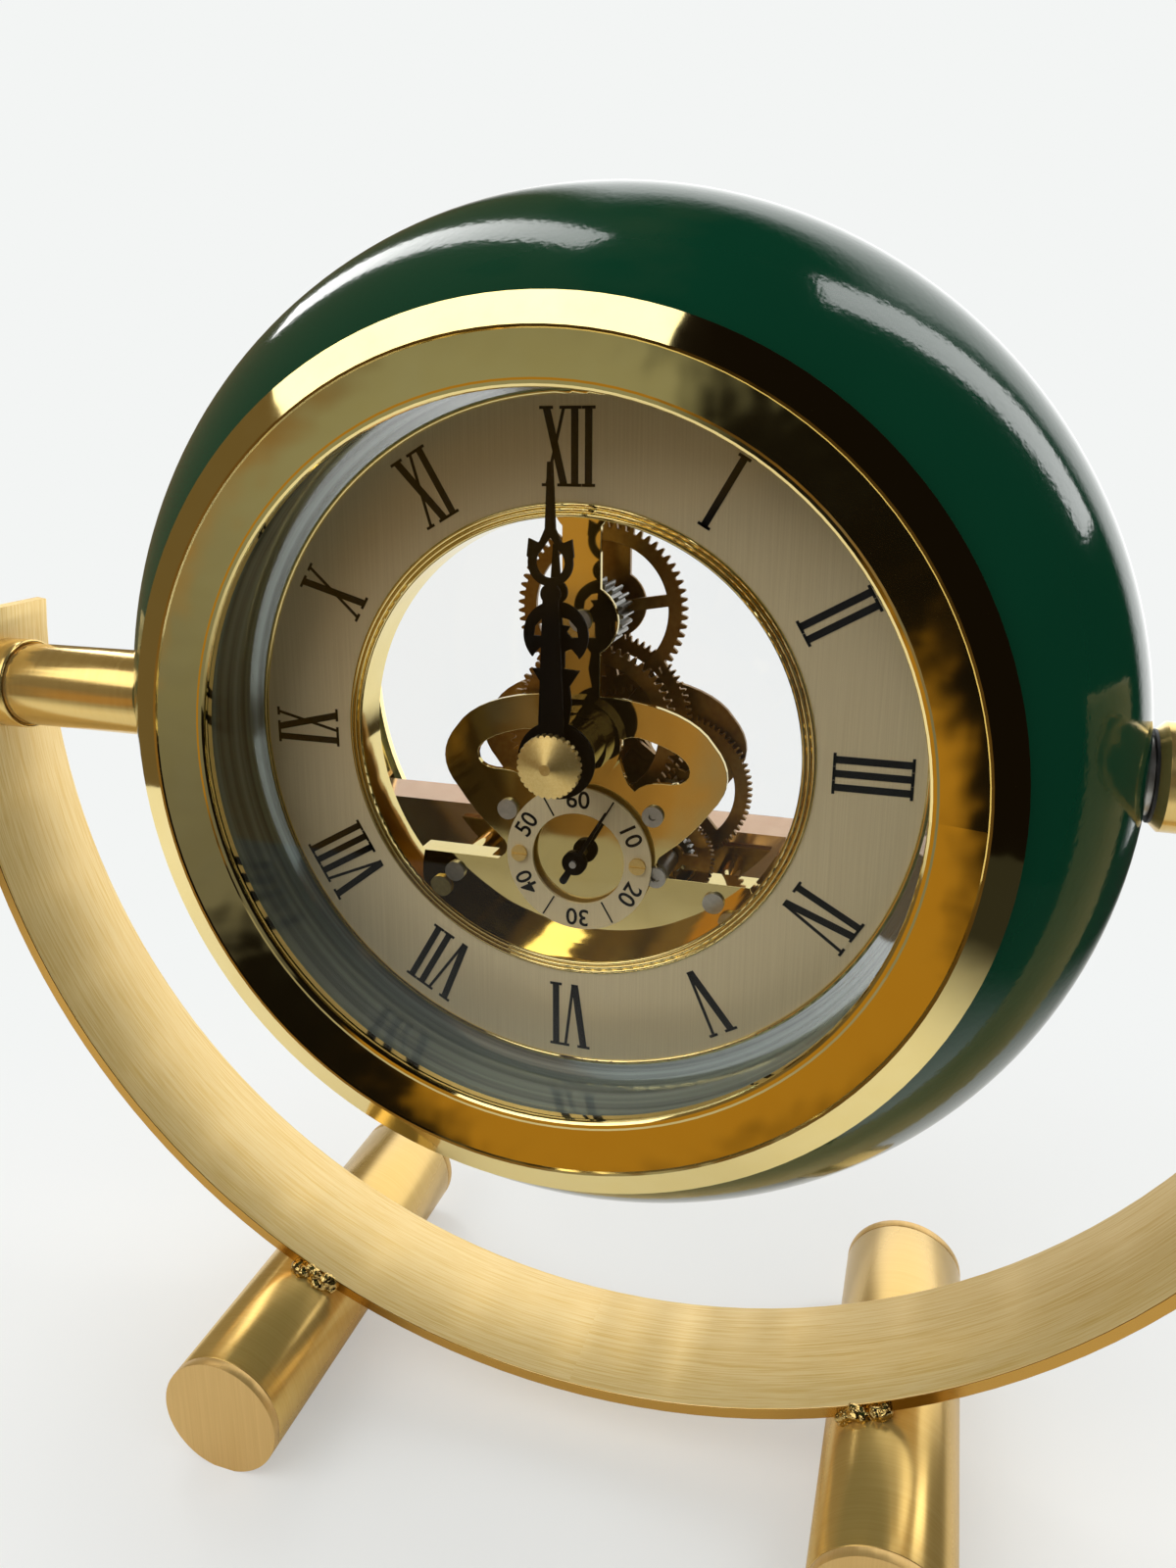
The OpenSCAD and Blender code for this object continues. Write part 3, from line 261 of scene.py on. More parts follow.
rearward = put(tree, "ShaderNodeMapRange", {"Value": parts.outputs["Y"], "From Min": 0, "From Max": 0.1})
through = put(tree, "ShaderNodeMath", {0: path.outputs["Is Transmission Ray"], 1: rearward.outputs["Result"]},
              operation="MULTIPLY")
looked_at = put(tree, "ShaderNodeMath", {0: path.outputs["Is Camera Ray"], 1: through.outputs["Value"]},
                operation="MAXIMUM")
backdrop = put(tree, "ShaderNodeMix",
               {"Factor": looked_at.outputs["Value"], "A": soft.outputs["Result"], "B": room_white},
               data_type="RGBA")
tree.links.new(backdrop.outputs["Result"], tree.nodes["Background"].inputs["Color"])

# Three lamps: a tall strip at each side behind the clock, and a wide window of light high at the front left.
# The turn counts from the viewer to the right, the rise from the horizon, and the power is in watts.
lamp_distance = 1.2
for name, turn, rise, size, power in (
    ("strip_left", -129, 50, (0.15, 1.2), 2.8),
    ("strip_right", 118, 42, (0.19, 1.1), 3.6),
    ("window_front", -36, 40, (1.1, 0.64), 4.5),
):
    turn, rise = math.radians(turn), math.radians(rise)
    aim = Vector((math.cos(rise) * math.sin(turn), -math.cos(rise) * math.cos(turn), math.sin(rise)))
    bpy.ops.object.light_add(type="AREA", location=Vector((0, 0, pivot_z)) + lamp_distance * aim)
    lamp = bpy.context.object
    lamp.name = name
    lamp.data.shape = "RECTANGLE"
    lamp.data.size, lamp.data.size_y = size
    lamp.data.energy = power
    lamp.visible_camera = False
    lamp.rotation_euler = aim.to_track_quat("Z", "Y").to_euler()

# The yoke is flat brass bar, rolled to a half circle and lacquered. It was brushed along its length first,
# so fine streaks follow the arc and spread the light across it. They are drawn about 0.4 mm wide.
# Its two edges are ground and polished, and the darker colour given to them is painted shade.


def dress(names, finish_made, edge=0, steps=2):
    """Gives CAD pieces their finish, and breaks their sharp edges by a small bevel."""
    for name in names:
        piece = nodes[name]
        for held in piece.material_slots:
            held.material = finish_made
        if edge:
            weld = piece.modifiers.new("weld", "WELD")
            weld.merge_threshold = 0.002 * mm
            bevel = piece.modifiers.new("edge", "BEVEL")
            bevel.width = edge * mm
            bevel.segments = steps
            bevel.limit_method = "ANGLE"
            bevel.angle_limit = math.radians(40)
            bevel.harden_normals = True


def emboss(tree, shader, pattern, strength, depth):
    """Lets a pattern raise and lower the surface by a small depth."""
    bump = put(tree, "ShaderNodeBump", {"Height": pattern, "Strength": strength, "Distance": depth})
    tree.links.new(bump.outputs["Normal"], shader.inputs["Normal"])


streak_width, streaks_per_radian = 0.4 * mm, 9
brushed_bar, tree, shader = finish("brushed_brass_bar")
where = put(tree, "ShaderNodeTexCoord")
centred = put(tree, "ShaderNodeVectorMath", {0: where.outputs["Object"], 1: (0, 0, pivot_z)},
              operation="SUBTRACT")
parts = put(tree, "ShaderNodeSeparateXYZ", {"Vector": centred.outputs["Vector"]})
angle = put(tree, "ShaderNodeMath", {0: parts.outputs["X"], 1: parts.outputs["Z"]}, operation="ARCTAN2")
reach = put(tree, "ShaderNodeVectorMath", {0: centred.outputs["Vector"]}, operation="LENGTH")
lap = put(tree, "ShaderNodeCombineXYZ",
          {"X": angle.outputs["Value"], "Y": parts.outputs["Y"], "Z": reach.outputs["Value"]})
stretch = put(tree, "ShaderNodeVectorMath",
              {0: lap.outputs["Vector"], 1: (streaks_per_radian, 1 / streak_width, 1 / streak_width)},
              operation="MULTIPLY")
streak = put(tree, "ShaderNodeTexNoise",
             {"Vector": stretch.outputs["Vector"], "Scale": 1, "Detail": 3, "Roughness": 0.6})
streak_depth = put(tree, "ShaderNodeMapRange",
                   {"Value": streak.outputs["Fac"], "From Min": 0.32, "From Max": 0.6})
tone = put(tree, "ShaderNodeMix",
           {"Factor": streak_depth.outputs["Result"], "A": paint("#efc874"), "B": paint("#ffe2a0")},
           data_type="RGBA")
facing = put(tree, "ShaderNodeSeparateXYZ", {"Vector": where.outputs["Normal"]})
sideways = put(tree, "ShaderNodeMath", {0: facing.outputs["Y"]}, operation="ABSOLUTE")
on_edge = put(tree, "ShaderNodeMapRange",
              {"Value": sideways.outputs["Value"], "From Min": 0.5, "From Max": 0.85})
# The faces towards front and back get a darker colour as painted shade, besides their real polish and lower
# roughness.
edge_painted_shade_tone = put(tree, "ShaderNodeMix",
             {"Factor": on_edge.outputs["Result"], "A": tone.outputs["Result"], "B": paint("#c79a4c")},
             data_type="RGBA")
tree.links.new(edge_painted_shade_tone.outputs["Result"], shader.inputs["Base Color"])
rough = put(tree, "ShaderNodeMapRange", {"Value": streak.outputs["Fac"], "To Min": 0.34, "To Max": 0.46})
polished = put(tree, "ShaderNodeMix",
               {"Factor": on_edge.outputs["Result"], "A": rough.outputs["Result"], "B": 0.16})
tree.links.new(polished.outputs["Result"], shader.inputs["Roughness"])
metal = put(tree, "ShaderNodeMapRange", {"Value": on_edge.outputs["Result"], "To Min": 0.42, "To Max": 1})
tree.links.new(metal.outputs["Result"], shader.inputs["Metallic"])
emboss(tree, shader, streak.outputs["Fac"], 0.08, 0.1 * mm)
across = put(tree, "ShaderNodeCombineXYZ", {"Y": 1})
tree.links.new(across.outputs["Vector"], shader.inputs["Tangent"])
shader.inputs["Anisotropic"].default_value = 0.5
dress(["yoke"], brushed_bar, edge=0.3)

# The feet are brass tube, turned on a lathe and lightly polished, and their end caps are brushed up and down.
# Turning leaves fine rings round the tube, drawn about 0.5 mm apart, and smears the light along it.
# The caps sit in the tubes by spigots. Their brush lines are drawn about 0.5 mm wide and 25 mm long.


def roughen(tree, shader, pattern, low, high):
    """Lets a pattern vary the shader's roughness between two levels."""
    level = put(tree, "ShaderNodeMapRange", {"Value": pattern, "To Min": low, "To Max": high})
    tree.links.new(level.outputs["Result"], shader.inputs["Roughness"])


turned_tube, tree, shader = finish("turned_brass_tube")
where = put(tree, "ShaderNodeTexCoord")
stretch = put(tree, "ShaderNodeVectorMath", {0: where.outputs["Object"], 1: (30, 1 / (0.5 * mm), 30)},
              operation="MULTIPLY")
streak = put(tree, "ShaderNodeTexNoise", {"Vector": stretch.outputs["Vector"], "Scale": 1, "Detail": 2})
tint(tree, shader, streak.outputs["Fac"], "#d2ac5a", "#e4c276")
roughen(tree, shader, streak.outputs["Fac"], 0.2, 0.28)
along = put(tree, "ShaderNodeCombineXYZ", {"Y": 1})
tree.links.new(along.outputs["Vector"], shader.inputs["Tangent"])
shader.inputs["Anisotropic"].default_value = 0.4
shader.inputs["Metallic"].default_value = 0.66
dress(["foot_left", "foot_right"], turned_tube, edge=0.3)

brushed_cap, tree, shader = finish("brushed_brass_cap")
where = put(tree, "ShaderNodeTexCoord")
stretch = put(tree, "ShaderNodeVectorMath",
              {0: where.outputs["Object"], 1: (1 / (0.5 * mm), 60, 1 / (25 * mm))}, operation="MULTIPLY")
streak = put(tree, "ShaderNodeTexNoise", {"Vector": stretch.outputs["Vector"], "Scale": 1, "Detail": 3})
tint(tree, shader, streak.outputs["Fac"], "#cfa862", "#e2be7a")
shader.inputs["Roughness"].default_value = 0.42
shader.inputs["Metallic"].default_value = 0.6
dress(["foot_caps"], brushed_cap, edge=0.3)

# The two pivot rods and their collars are brass tube too, but buffed bright, with rounded ends at the case.
# Buffing leaves a faint grain round the rod, drawn about 0.6 mm wide.
buffed_rod, tree, shader = finish("buffed_brass_rod")
where = put(tree, "ShaderNodeTexCoord")
stretch = put(tree, "ShaderNodeVectorMath", {0: where.outputs["Object"], 1: (1 / (0.6 * mm), 90, 90)},
              operation="MULTIPLY")
streak = put(tree, "ShaderNodeTexNoise", {"Vector": stretch.outputs["Vector"], "Scale": 1, "Detail": 3})
tint(tree, shader, streak.outputs["Fac"], "#dcb868", "#edd18a")
roughen(tree, shader, streak.outputs["Fac"], 0.14, 0.24)
shader.inputs["Metallic"].default_value = 0.85
dress(["rod_left", "rod_right", "rod_collars"], buffed_rod, edge=0.5, steps=3)

# The bezel, the rims and the front plate are stamped or turned brass with a mirror gold plating.
# A faint haze of fine scratches breaks what they mirror, and the press's shallow waves, 20 mm long, bend it.
# The front plate's flat faces are made whole before its edges are rounded.
mirror_gold, tree, shader = finish("mirror_gold_plate")
where = put(tree, "ShaderNodeTexCoord")
haze = put(tree, "ShaderNodeTexNoise",
           {"Vector": where.outputs["Object"], "Scale": 1 / (9 * mm), "Detail": 4})
roughen(tree, shader, haze.outputs["Fac"], 0.03, 0.07)
tint(tree, shader, haze.outputs["Fac"], "#f4dc90", "#f9e6a4")
wave = put(tree, "ShaderNodeTexNoise",
           {"Vector": where.outputs["Object"], "Scale": 1 / (20 * mm), "Detail": 2})
emboss(tree, shader, wave.outputs["Fac"], 0.4, 0.4 * mm)
shader.inputs["Metallic"].default_value = 1
dress(["bezel", "glass_retainer", "rear_ring", "chapter_edge_ring", "window_rim", "centre_bush",
       "seconds_posts", "pillars"], mirror_gold)
dress(["front_plate"], mirror_gold, edge=0.45, steps=3)
flat = nodes["front_plate"].modifiers.new("flat", "DECIMATE")
flat.decimate_type = "DISSOLVE"
flat.angle_limit = math.radians(0.5)
nodes["front_plate"].modifiers.move(2, 1)

# The hand nut, the setting knob and the small dial's screws are turned brass with a satin gold plating.
# The plating has a fine grain, drawn about 0.5 mm wide, which spreads the light into a soft glow.
satin_gold, tree, shader = finish("satin_gold_plate")
where = put(tree, "ShaderNodeTexCoord")
grain = put(tree, "ShaderNodeTexNoise",
            {"Vector": where.outputs["Object"], "Scale": 1 / (0.5 * mm), "Detail": 3})
tint(tree, shader, grain.outputs["Fac"], "#dcb866", "#f2d894")
roughen(tree, shader, grain.outputs["Fac"], 0.26, 0.4)
shader.inputs["Metallic"].default_value = 0.85
dress(["hand_nut", "setting_knob", "seconds_screws"], satin_gold)

# The case is a hollow ring spun from sheet steel, with full, rounded flanks, in baked dark green enamel.
# Its outer line is drawn, turned about the dial's axis and thickened inwards. The pivot holes are cut last.
# The spray leaves a gentle orange peel, with dimples about 1.4 mm across.
enamel, tree, shader = finish("green_enamel")
where = put(tree, "ShaderNodeTexCoord")
peel = put(tree, "ShaderNodeTexNoise",
           {"Vector": where.outputs["Object"], "Scale": 1 / (1.4 * mm), "Detail": 1})
emboss(tree, shader, peel.outputs["Fac"], 0.16, 0.12 * mm)
cloud = put(tree, "ShaderNodeTexNoise",
            {"Vector": where.outputs["Object"], "Scale": 1 / (60 * mm), "Detail": 2})
tint(tree, shader, cloud.outputs["Fac"], "#07301f", "#0b3d28")
shader.inputs["Roughness"].default_value = 0.09
shader.inputs["IOR"].default_value = 1.5
shader.inputs["Specular IOR Level"].default_value = 0.36
edge_round, flank_round, flank_from = 36 * mm, 78.35 * mm, math.radians(30)
edge_middle = 79 * mm
flank_shift = edge_round - flank_round
flank_middle = (edge_middle + flank_shift * math.cos(flank_from), flank_shift * math.sin(flank_from))
mouth_turn = math.radians(52.5)
sheet_thickness, hole_radius, hole_length = 2 * mm, 8.02 * mm, 260 * mm
edge_turns = [flank_from * i / 12 for i in range(12)]
flank_turns = [flank_from + (mouth_turn - flank_from) * i / 14 for i in range(15)]
half = [(edge_middle + edge_round * math.cos(a), edge_round * math.sin(a)) for a in edge_turns]
half += [(flank_middle[0] + flank_round * math.cos(a), flank_middle[1] + flank_round * math.sin(a))
         for a in flank_turns]
section = [(r, -y) for r, y in reversed(half[1:])] + half
bpy.ops.object.select_all(action="DESELECT")
bpy.ops.mesh.primitive_plane_add(size=1 * mm, location=(section[0][0], section[0][1], pivot_z))
green_ring = bpy.context.object
green_ring.name = "green_ring"
bpy.ops.object.transform_apply(location=True, rotation=True, scale=True)
bpy.ops.object.mode_set(mode="EDIT")
bpy.ops.mesh.select_all(action="SELECT")
bpy.ops.mesh.merge(type="CENTER")
for last, new in zip(section, section[1:]):
    step = (new[0] - last[0], new[1] - last[1], 0)
    bpy.ops.mesh.extrude_region_move(TRANSFORM_OT_translate={"value": step})
bpy.ops.mesh.select_all(action="SELECT")
bpy.ops.mesh.spin(steps=180, angle=2 * math.pi, center=(0, 0, pivot_z), axis=(0, 1, 0))
bpy.ops.mesh.select_all(action="SELECT")
bpy.ops.mesh.remove_doubles(threshold=0.01 * mm)
bpy.ops.mesh.normals_make_consistent(inside=False)
bpy.ops.object.mode_set(mode="OBJECT")
sheet = green_ring.modifiers.new("sheet", "SOLIDIFY")
sheet.thickness = sheet_thickness
sheet.offset = -1
bpy.ops.object.modifier_apply(modifier="sheet")
bpy.ops.mesh.primitive_cylinder_add(
    vertices=62, radius=hole_radius, depth=hole_length,
    location=(0, 0, pivot_z), rotation=(0, math.pi / 2, 0))
drill = bpy.context.object
bpy.ops.object.select_all(action="DESELECT")
green_ring.select_set(True)
bpy.context.view_layer.objects.active = green_ring
holes = green_ring.modifiers.new("holes", "BOOLEAN")
holes.object = drill
holes.solver = "EXACT"
bpy.ops.object.modifier_apply(modifier="holes")
bpy.ops.object.shade_smooth_by_angle(angle=math.radians(40))
bpy.data.objects.remove(drill)
green_ring.data.materials.clear()
green_ring.data.materials.append(enamel)
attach(green_ring, "case")
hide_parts("case_shell")

# The liner is a rolled steel tube behind the glass, in glossy grey-green paint that mirrors the dial.
# It was painted while turning, so faint bands about 2.5 mm wide run round it.
grey_gloss, tree, shader = finish("grey_gloss_paint")
where = put(tree, "ShaderNodeTexCoord")
stretch = put(tree, "ShaderNodeVectorMath", {0: where.outputs["Object"], 1: (6, 1 / (2.5 * mm), 6)},
              operation="MULTIPLY")
band = put(tree, "ShaderNodeTexNoise", {"Vector": stretch.outputs["Vector"], "Scale": 1, "Detail": 2})
depth = put(tree, "ShaderNodeMapRange", {"Value": band.outputs["Fac"], "From Min": 0.35, "From Max": 0.65})
tint(tree, shader, depth.outputs["Result"], "#54625b", "#8c9a92")
shader.inputs["Roughness"].default_value = 0.1
shader.inputs["Metallic"].default_value = 0.32
shader.inputs["Specular IOR Level"].default_value = 0.4
dress(["liner"], grey_gloss)

# The chapter ring and the small seconds ring are aluminium, brushed straight down and tinted champagne.
# The brush lines are about 0.3 mm wide as drawn and 30 mm long.
champagne, tree, shader = finish("brushed_champagne_aluminium")
where = put(tree, "ShaderNodeTexCoord")
stretch = put(tree, "ShaderNodeVectorMath",
              {0: where.outputs["Object"], 1: (1 / (0.3 * mm), 1, 1 / (30 * mm))}, operation="MULTIPLY")
streak = put(tree, "ShaderNodeTexNoise", {"Vector": stretch.outputs["Vector"], "Scale": 1, "Detail": 3})
tint(tree, shader, streak.outputs["Fac"], "#d9c79b", "#f2e3bb")
roughen(tree, shader, streak.outputs["Fac"], 0.3, 0.46)
emboss(tree, shader, streak.outputs["Fac"], 0.1, 0.05 * mm)
across = put(tree, "ShaderNodeCombineXYZ", {"X": 1})
tree.links.new(across.outputs["Vector"], shader.inputs["Tangent"])
shader.inputs["Anisotropic"].default_value = 0.6
shader.inputs["Metallic"].default_value = 0.24
dress(["chapter_ring", "seconds_ring"], champagne)

# Train wheels and rear plate are bronze-coloured brass, pressed and tumbled, so they have a soft sheen.
# Tumbling breaks the edges and leaves a mottle about 1.5 mm across. Each wheel is tight on its arbor or pipe.
bronze, tree, shader = finish("tumbled_bronze")
where = put(tree, "ShaderNodeTexCoord")
grain = put(tree, "ShaderNodeTexNoise",
            {"Vector": where.outputs["Object"], "Scale": 1 / (1.5 * mm), "Detail": 4})
tint(tree, shader, grain.outputs["Fac"], "#7d5d30", "#a98449")
roughen(tree, shader, grain.outputs["Fac"], 0.22, 0.42)
shader.inputs["Metallic"].default_value = 1
dress(["rear_plate", "centre_wheel", "centre_show_wheel", "third_wheel", "seconds_wheel",
       "upper_wheel", "intermediate_wheel", "motion_wheel", "hour_wheel"], bronze, edge=0.12, steps=1)

# The cross rail and the battery box are folded from sheet brass with a bright rose gold plating.
# A slight haze clouds it, about 6 mm across. The rail carries the movement and the drive.
rose_gold, tree, shader = finish("rose_gold_sheet")
where = put(tree, "ShaderNodeTexCoord")
haze = put(tree, "ShaderNodeTexNoise",
           {"Vector": where.outputs["Object"], "Scale": 1 / (6 * mm), "Detail": 3})
tint(tree, shader, haze.outputs["Fac"], "#d9a983", "#edc9a6")
roughen(tree, shader, haze.outputs["Fac"], 0.1, 0.2)
shader.inputs["Metallic"].default_value = 0.8
dress(["cross_rail", "battery_box"], rose_gold)

# Arbors, pinions, screws and bushes are bright drawn steel.
# Turning leaves a fine grain on them, shown about 0.8 mm wide.
bright_steel, tree, shader = finish("bright_steel")
where = put(tree, "ShaderNodeTexCoord")
grain = put(tree, "ShaderNodeTexNoise",
            {"Vector": where.outputs["Object"], "Scale": 1 / (0.8 * mm), "Detail": 3})
tint(tree, shader, grain.outputs["Fac"], "#a3a29d", "#c8c7c1")
shader.inputs["Roughness"].default_value = 0.32
shader.inputs["Metallic"].default_value = 0.85
dress(["pivot_bolts", "pivot_sleeves", "rear_ring_screws", "pillar_screws", "pivot_bushes", "rail_screws",
       "motion_stud", "intermediate_stud", "minute_arbor", "cannon_pinion", "third_arbor", "seconds_arbor",
       "upper_arbor", "intermediate_arbor", "drive_pinion", "battery_contacts"], bright_steel)

# The glass and the rear cover are clear polished discs, held at their rims by the rings round them.
# Light passes straight through them, so they throw no dark shadow on the dial.
clear_glass, tree, shader = finish("clear_glass")
shader.inputs["Roughness"].default_value = 0
shader.inputs["IOR"].default_value = 1.3
shader.inputs["Transmission Weight"].default_value = 1
shader.inputs["Base Color"].default_value = paint("#ffffff")
path = put(tree, "ShaderNodeLightPath")
through = put(tree, "ShaderNodeBsdfTransparent")
pane = put(tree, "ShaderNodeMixShader",
           {0: path.outputs["Is Shadow Ray"], 1: shader.outputs["BSDF"], 2: through.outputs["BSDF"]})
tree.links.new(pane.outputs["Shader"], tree.nodes["Material Output"].inputs["Surface"])
dress(["glass", "rear_cover"], clear_glass)

# The hands are pressed from thin steel, with slightly rounded edges, and lacquered black.
# The lacquer mirrors little and is cloudy in patches about 4 mm across.
black_lacquer, tree, shader = finish("black_lacquer")
where = put(tree, "ShaderNodeTexCoord")
cloud = put(tree, "ShaderNodeTexNoise",
            {"Vector": where.outputs["Object"], "Scale": 1 / (4 * mm), "Detail": 2})
roughen(tree, shader, cloud.outputs["Fac"], 0.4, 0.55)
shader.inputs["Base Color"].default_value = paint("#040405")
shader.inputs["Specular IOR Level"].default_value = 0.08
dress(["minute_hand", "hour_hand", "seconds_hand"], black_lacquer, edge=0.08)

# The drive housing and the friction washers are moulded black plastic.
# The faces of the mould leave a fine grain on them, about 0.6 mm across.
black_plastic, tree, shader = finish("moulded_black_plastic")
where = put(tree, "ShaderNodeTexCoord")
spark = put(tree, "ShaderNodeTexNoise",
            {"Vector": where.outputs["Object"], "Scale": 1 / (0.6 * mm), "Detail": 2})
emboss(tree, shader, spark.outputs["Fac"], 0.2, 0.05 * mm)
shader.inputs["Base Color"].default_value = paint("#1b1c1d")
shader.inputs["Roughness"].default_value = 0.5
dress(["drive_housing", "friction_washers"], black_plastic)

# The cell has a plain shrink wrapper, dark grey with a copper band at its cap end.
# Creases about 3 mm apart vary the gloss of the film. The cell lies in the battery box.
wrapper, tree, shader = finish("cell_wrapper")
where = put(tree, "ShaderNodeTexCoord")
parts = put(tree, "ShaderNodeSeparateXYZ", {"Vector": where.outputs["Object"]})
cell_low, cell_high = [corner[0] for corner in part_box("battery")]
band_from = cell_low + 0.72 * (cell_high - cell_low)
band = put(tree, "ShaderNodeMath", {0: parts.outputs["X"], 1: band_from}, operation="GREATER_THAN")
tint(tree, shader, band.outputs["Value"], "#2b2c2e", "#b07a3c")
crease = put(tree, "ShaderNodeTexNoise",
             {"Vector": where.outputs["Object"], "Scale": 1 / (3 * mm), "Detail": 2})
roughen(tree, shader, crease.outputs["Fac"], 0.25, 0.4)
dress(["battery"], wrapper)

# The Roman numerals are printed in thick black ink on the chapter ring, with their tops outwards.
# Each is drawn upright at twelve from straight strokes, cut level at both ends and given thin serifs,
# and then turned to its hour. The ink is sunk a little into the ring, so that no gap shows under it.
numeral_low, numeral_high = 55.6 * mm, 71.4 * mm
ink_depth, ink_sunk = 0.12 * mm, 0.01 * mm
serif_height, serif_inset, serif_spread = 0.6 * mm, 0.3 * mm, 1.3
overlong = 1.3
letter_width = {"I": 2.9 * mm, "V": 6.0 * mm, "X": 5.4 * mm}
letter_strokes = {
    "I": [(0, 0, 1.5)],
    "V": [(-2.2, 0.0, 1.6), (2.2, 0.35, 0.65)],
    "X": [(-1.9, 1.9, 1.6), (1.9, -1.9, 0.65)],
}
ink, tree, shader = finish("black_printing_ink")
where = put(tree, "ShaderNodeTexCoord")
cloud = put(tree, "ShaderNodeTexNoise",
            {"Vector": where.outputs["Object"], "Scale": 1 / (2 * mm), "Detail": 3})
tint(tree, shader, cloud.outputs["Fac"], "#08090a", "#141517")
shader.inputs["Roughness"].default_value = 0.45
shader.inputs["Specular IOR Level"].default_value = 0.15


def block(x, z, width, height, lean=0):
    """One flat bar of ink, centred at x and z about the dial's middle and leaning by an angle."""
    bpy.ops.mesh.primitive_cube_add(
        size=1, location=(x, 0, z), rotation=(0, lean, 0), scale=(width, ink_depth, height))
    return bpy.context.object


def join(pieces, name):
    """One object made of several."""
    bpy.ops.object.select_all(action="DESELECT")
    for piece in pieces:
        piece.select_set(True)
    bpy.context.view_layer.objects.active = pieces[0]
    bpy.ops.object.join()
    bpy.context.object.name = name
    bpy.ops.object.transform_apply(location=True, rotation=True, scale=True)
    return bpy.context.object


def settle(piece, place, turn):
    """Turns a piece about the dial's axis, moves it to its place and applies both."""
    bpy.ops.object.select_all(action="DESELECT")
    piece.select_set(True)
    bpy.context.view_layer.objects.active = piece
    piece.location = place
    piece.rotation_euler = (0, turn, 0)
    bpy.ops.object.transform_apply(location=True, rotation=True, scale=True)


dial_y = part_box("chapter_ring")[0][1]
tall = numeral_high - numeral_low
middle = (numeral_high + numeral_low) / 2
numerals = []
hours = ("I", "II", "III", "IV", "V", "VI", "VII", "VIII", "IX", "X", "XI", "XII")
for hour, letters in enumerate(hours, 1):
    strokes, serifs = [], []
    x = -sum(letter_width[letter] for letter in letters) / 2
    for letter in letters:
        x += letter_width[letter] / 2
        for top, low, width in letter_strokes[letter]:
            run = (top - low) * mm
            lean = math.atan2(run, tall)
            bar = block(x + (top + low) / 2 * mm, middle, width * mm * math.cos(lean), tall * overlong, lean)
            strokes.append(join([bar], "stroke"))
            bpy.ops.object.mode_set(mode="EDIT")
            for level, side in ((numeral_high, 1), (numeral_low, -1)):
                bpy.ops.mesh.select_all(action="SELECT")
                bpy.ops.mesh.bisect(
                    plane_co=(0, 0, level), plane_no=(0, 0, side), use_fill=True, clear_outer=True)
            bpy.ops.object.mode_set(mode="OBJECT")
            ends = [(top, numeral_high)] if letter == "V" else [(top, numeral_high), (low, numeral_low)]
            for end, level in ends:
                inwards = -1 if level == numeral_high else 1
                serifs.append((x + end * mm, level + inwards * serif_inset, (width + serif_spread) * mm))
        x += letter_width[letter] / 2
    numeral = join(strokes + [block(sx, sz, width, serif_height) for sx, sz, width in serifs], "numeral")
    settle(numeral, (0, dial_y - ink_depth / 2 + ink_sunk, pivot_z), math.radians(30 * hour))
    numerals.append(numeral)
hour_numerals = join(numerals, "hour_numerals")
hour_numerals.data.materials.append(ink)
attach(hour_numerals, "case")

# The small seconds ring is printed in the same ink, with the tens and with short lines between them.
# Its two screws stand where the lines at 15 and 45 would be.
mark_reach = 14 * mm
figure_size, figure_swell = 5.7 * mm, 0.05 * mm
line_width, line_length = 0.35 * mm, 5.4 * mm
seconds_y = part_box("seconds_ring")[0][1]
seconds_z = sum(corner[2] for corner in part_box("seconds_ring")) / 2
marks = []
for second in range(0, 60, 10):
    bpy.ops.object.text_add(rotation=(math.pi / 2, 0, 0))
    figure = bpy.context.object
    figure.data.body = str(second or 60)
    figure.data.align_x = "CENTER"
    figure.data.align_y = "CENTER"
    figure.data.size = figure_size
    figure.data.resolution_u = 6
    figure.data.extrude = ink_depth / 2
    figure.data.offset = figure_swell
    bpy.ops.object.convert(target="MESH")
    figure = bpy.context.object
    bpy.ops.object.transform_apply(location=True, rotation=True, scale=True)
    settle(figure, (0, 0, mark_reach), 0)
    settle(figure, (0, seconds_y - ink_depth / 2 + ink_sunk, seconds_z), math.radians(6 * second))
    marks.append(figure)
for second in (5, 25, 35, 55):
    line = join([block(0, mark_reach, line_width, line_length)], "line")
    settle(line, (0, seconds_y - ink_depth / 2 + ink_sunk, seconds_z), math.radians(6 * second))
    marks.append(line)
seconds_marks = join(marks, "seconds_marks")
seconds_marks.data.materials.clear()
seconds_marks.data.materials.append(ink)
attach(seconds_marks, "case")

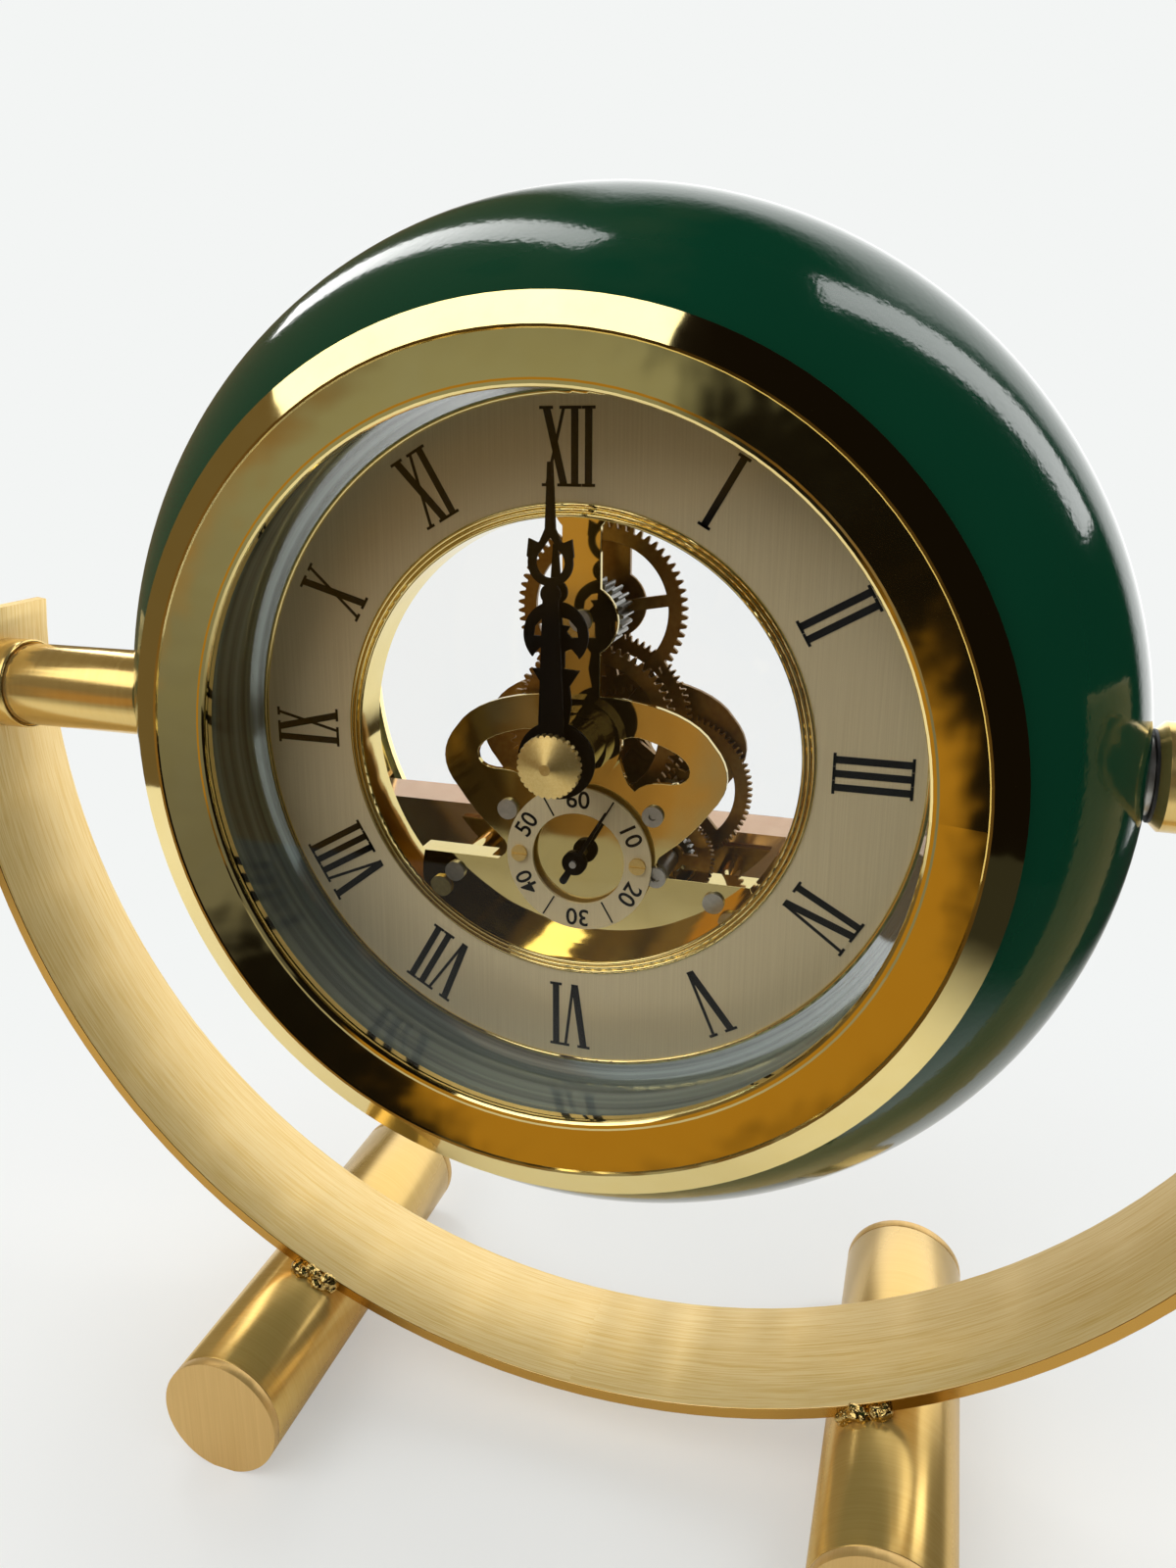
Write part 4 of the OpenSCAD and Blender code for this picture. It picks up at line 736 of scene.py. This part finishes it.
# The feet are welded to the yoke at its front and back edges, each by a short lumpy bead of brazing metal.
# A bead is built from overlapping drops, which are fused, smoothed and then torn into folds about 2 mm wide.
# Reach, edge and step are in millimetres: from the pivots' axis, from the middle and from drop to drop.
bead_reach, bead_edge, drop_step = 170.6, 17.9, 1.7
braze, tree, shader = finish("rough_brazing_metal")
where = put(tree, "ShaderNodeTexCoord")
crust = put(tree, "ShaderNodeTexNoise",
            {"Vector": where.outputs["Object"], "Scale": 1 / (1.8 * mm), "Detail": 3})
tint(tree, shader, crust.outputs["Fac"], "#a07c3c", "#f0d68e")
roughen(tree, shader, crust.outputs["Fac"], 0.14, 0.28)
emboss(tree, shader, crust.outputs["Fac"], 0.7, 0.8 * mm)
shader.inputs["Metallic"].default_value = 1
foot_turn = math.radians(25)
drops = random.Random(4)
beads = []
for side in (-1, 1):
    for end in (-1, 1):
        for i in range(-3, 4):
            lap = i * drop_step * mm
            reach = (bead_reach + end + drops.uniform(-1.1, 1.1)) * mm
            x = side * (reach * math.sin(foot_turn) + lap * math.cos(foot_turn))
            z = pivot_z - reach * math.cos(foot_turn) + lap * math.sin(foot_turn)
            y = end * (bead_edge + drops.uniform(-0.4, 0.5)) * mm
            bpy.ops.mesh.primitive_ico_sphere_add(
                subdivisions=3, radius=drops.uniform(1.6, 2.7) * mm, location=(x, y, z))
            beads.append(bpy.context.object)
weld_lumps = join(beads, "weld_lumps")
fuse = weld_lumps.modifiers.new("fuse", "REMESH")
fuse.mode = "VOXEL"
fuse.voxel_size = 0.3 * mm
bpy.ops.object.modifier_apply(modifier="fuse")
soft = weld_lumps.modifiers.new("soft", "SMOOTH")
soft.iterations = 3
bpy.ops.object.modifier_apply(modifier="soft")
folds = bpy.data.textures.new("folds", "CLOUDS")
folds.noise_scale = 2.2 * mm
torn = weld_lumps.modifiers.new("torn", "DISPLACE")
torn.texture = folds
torn.strength = 1.6 * mm
bpy.ops.object.modifier_apply(modifier="torn")
bpy.ops.object.shade_smooth()
weld_lumps.data.materials.append(braze)
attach(weld_lumps, "stand")
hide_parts("weld_beads")

size = [[list(corner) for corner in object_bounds()], cad_box]
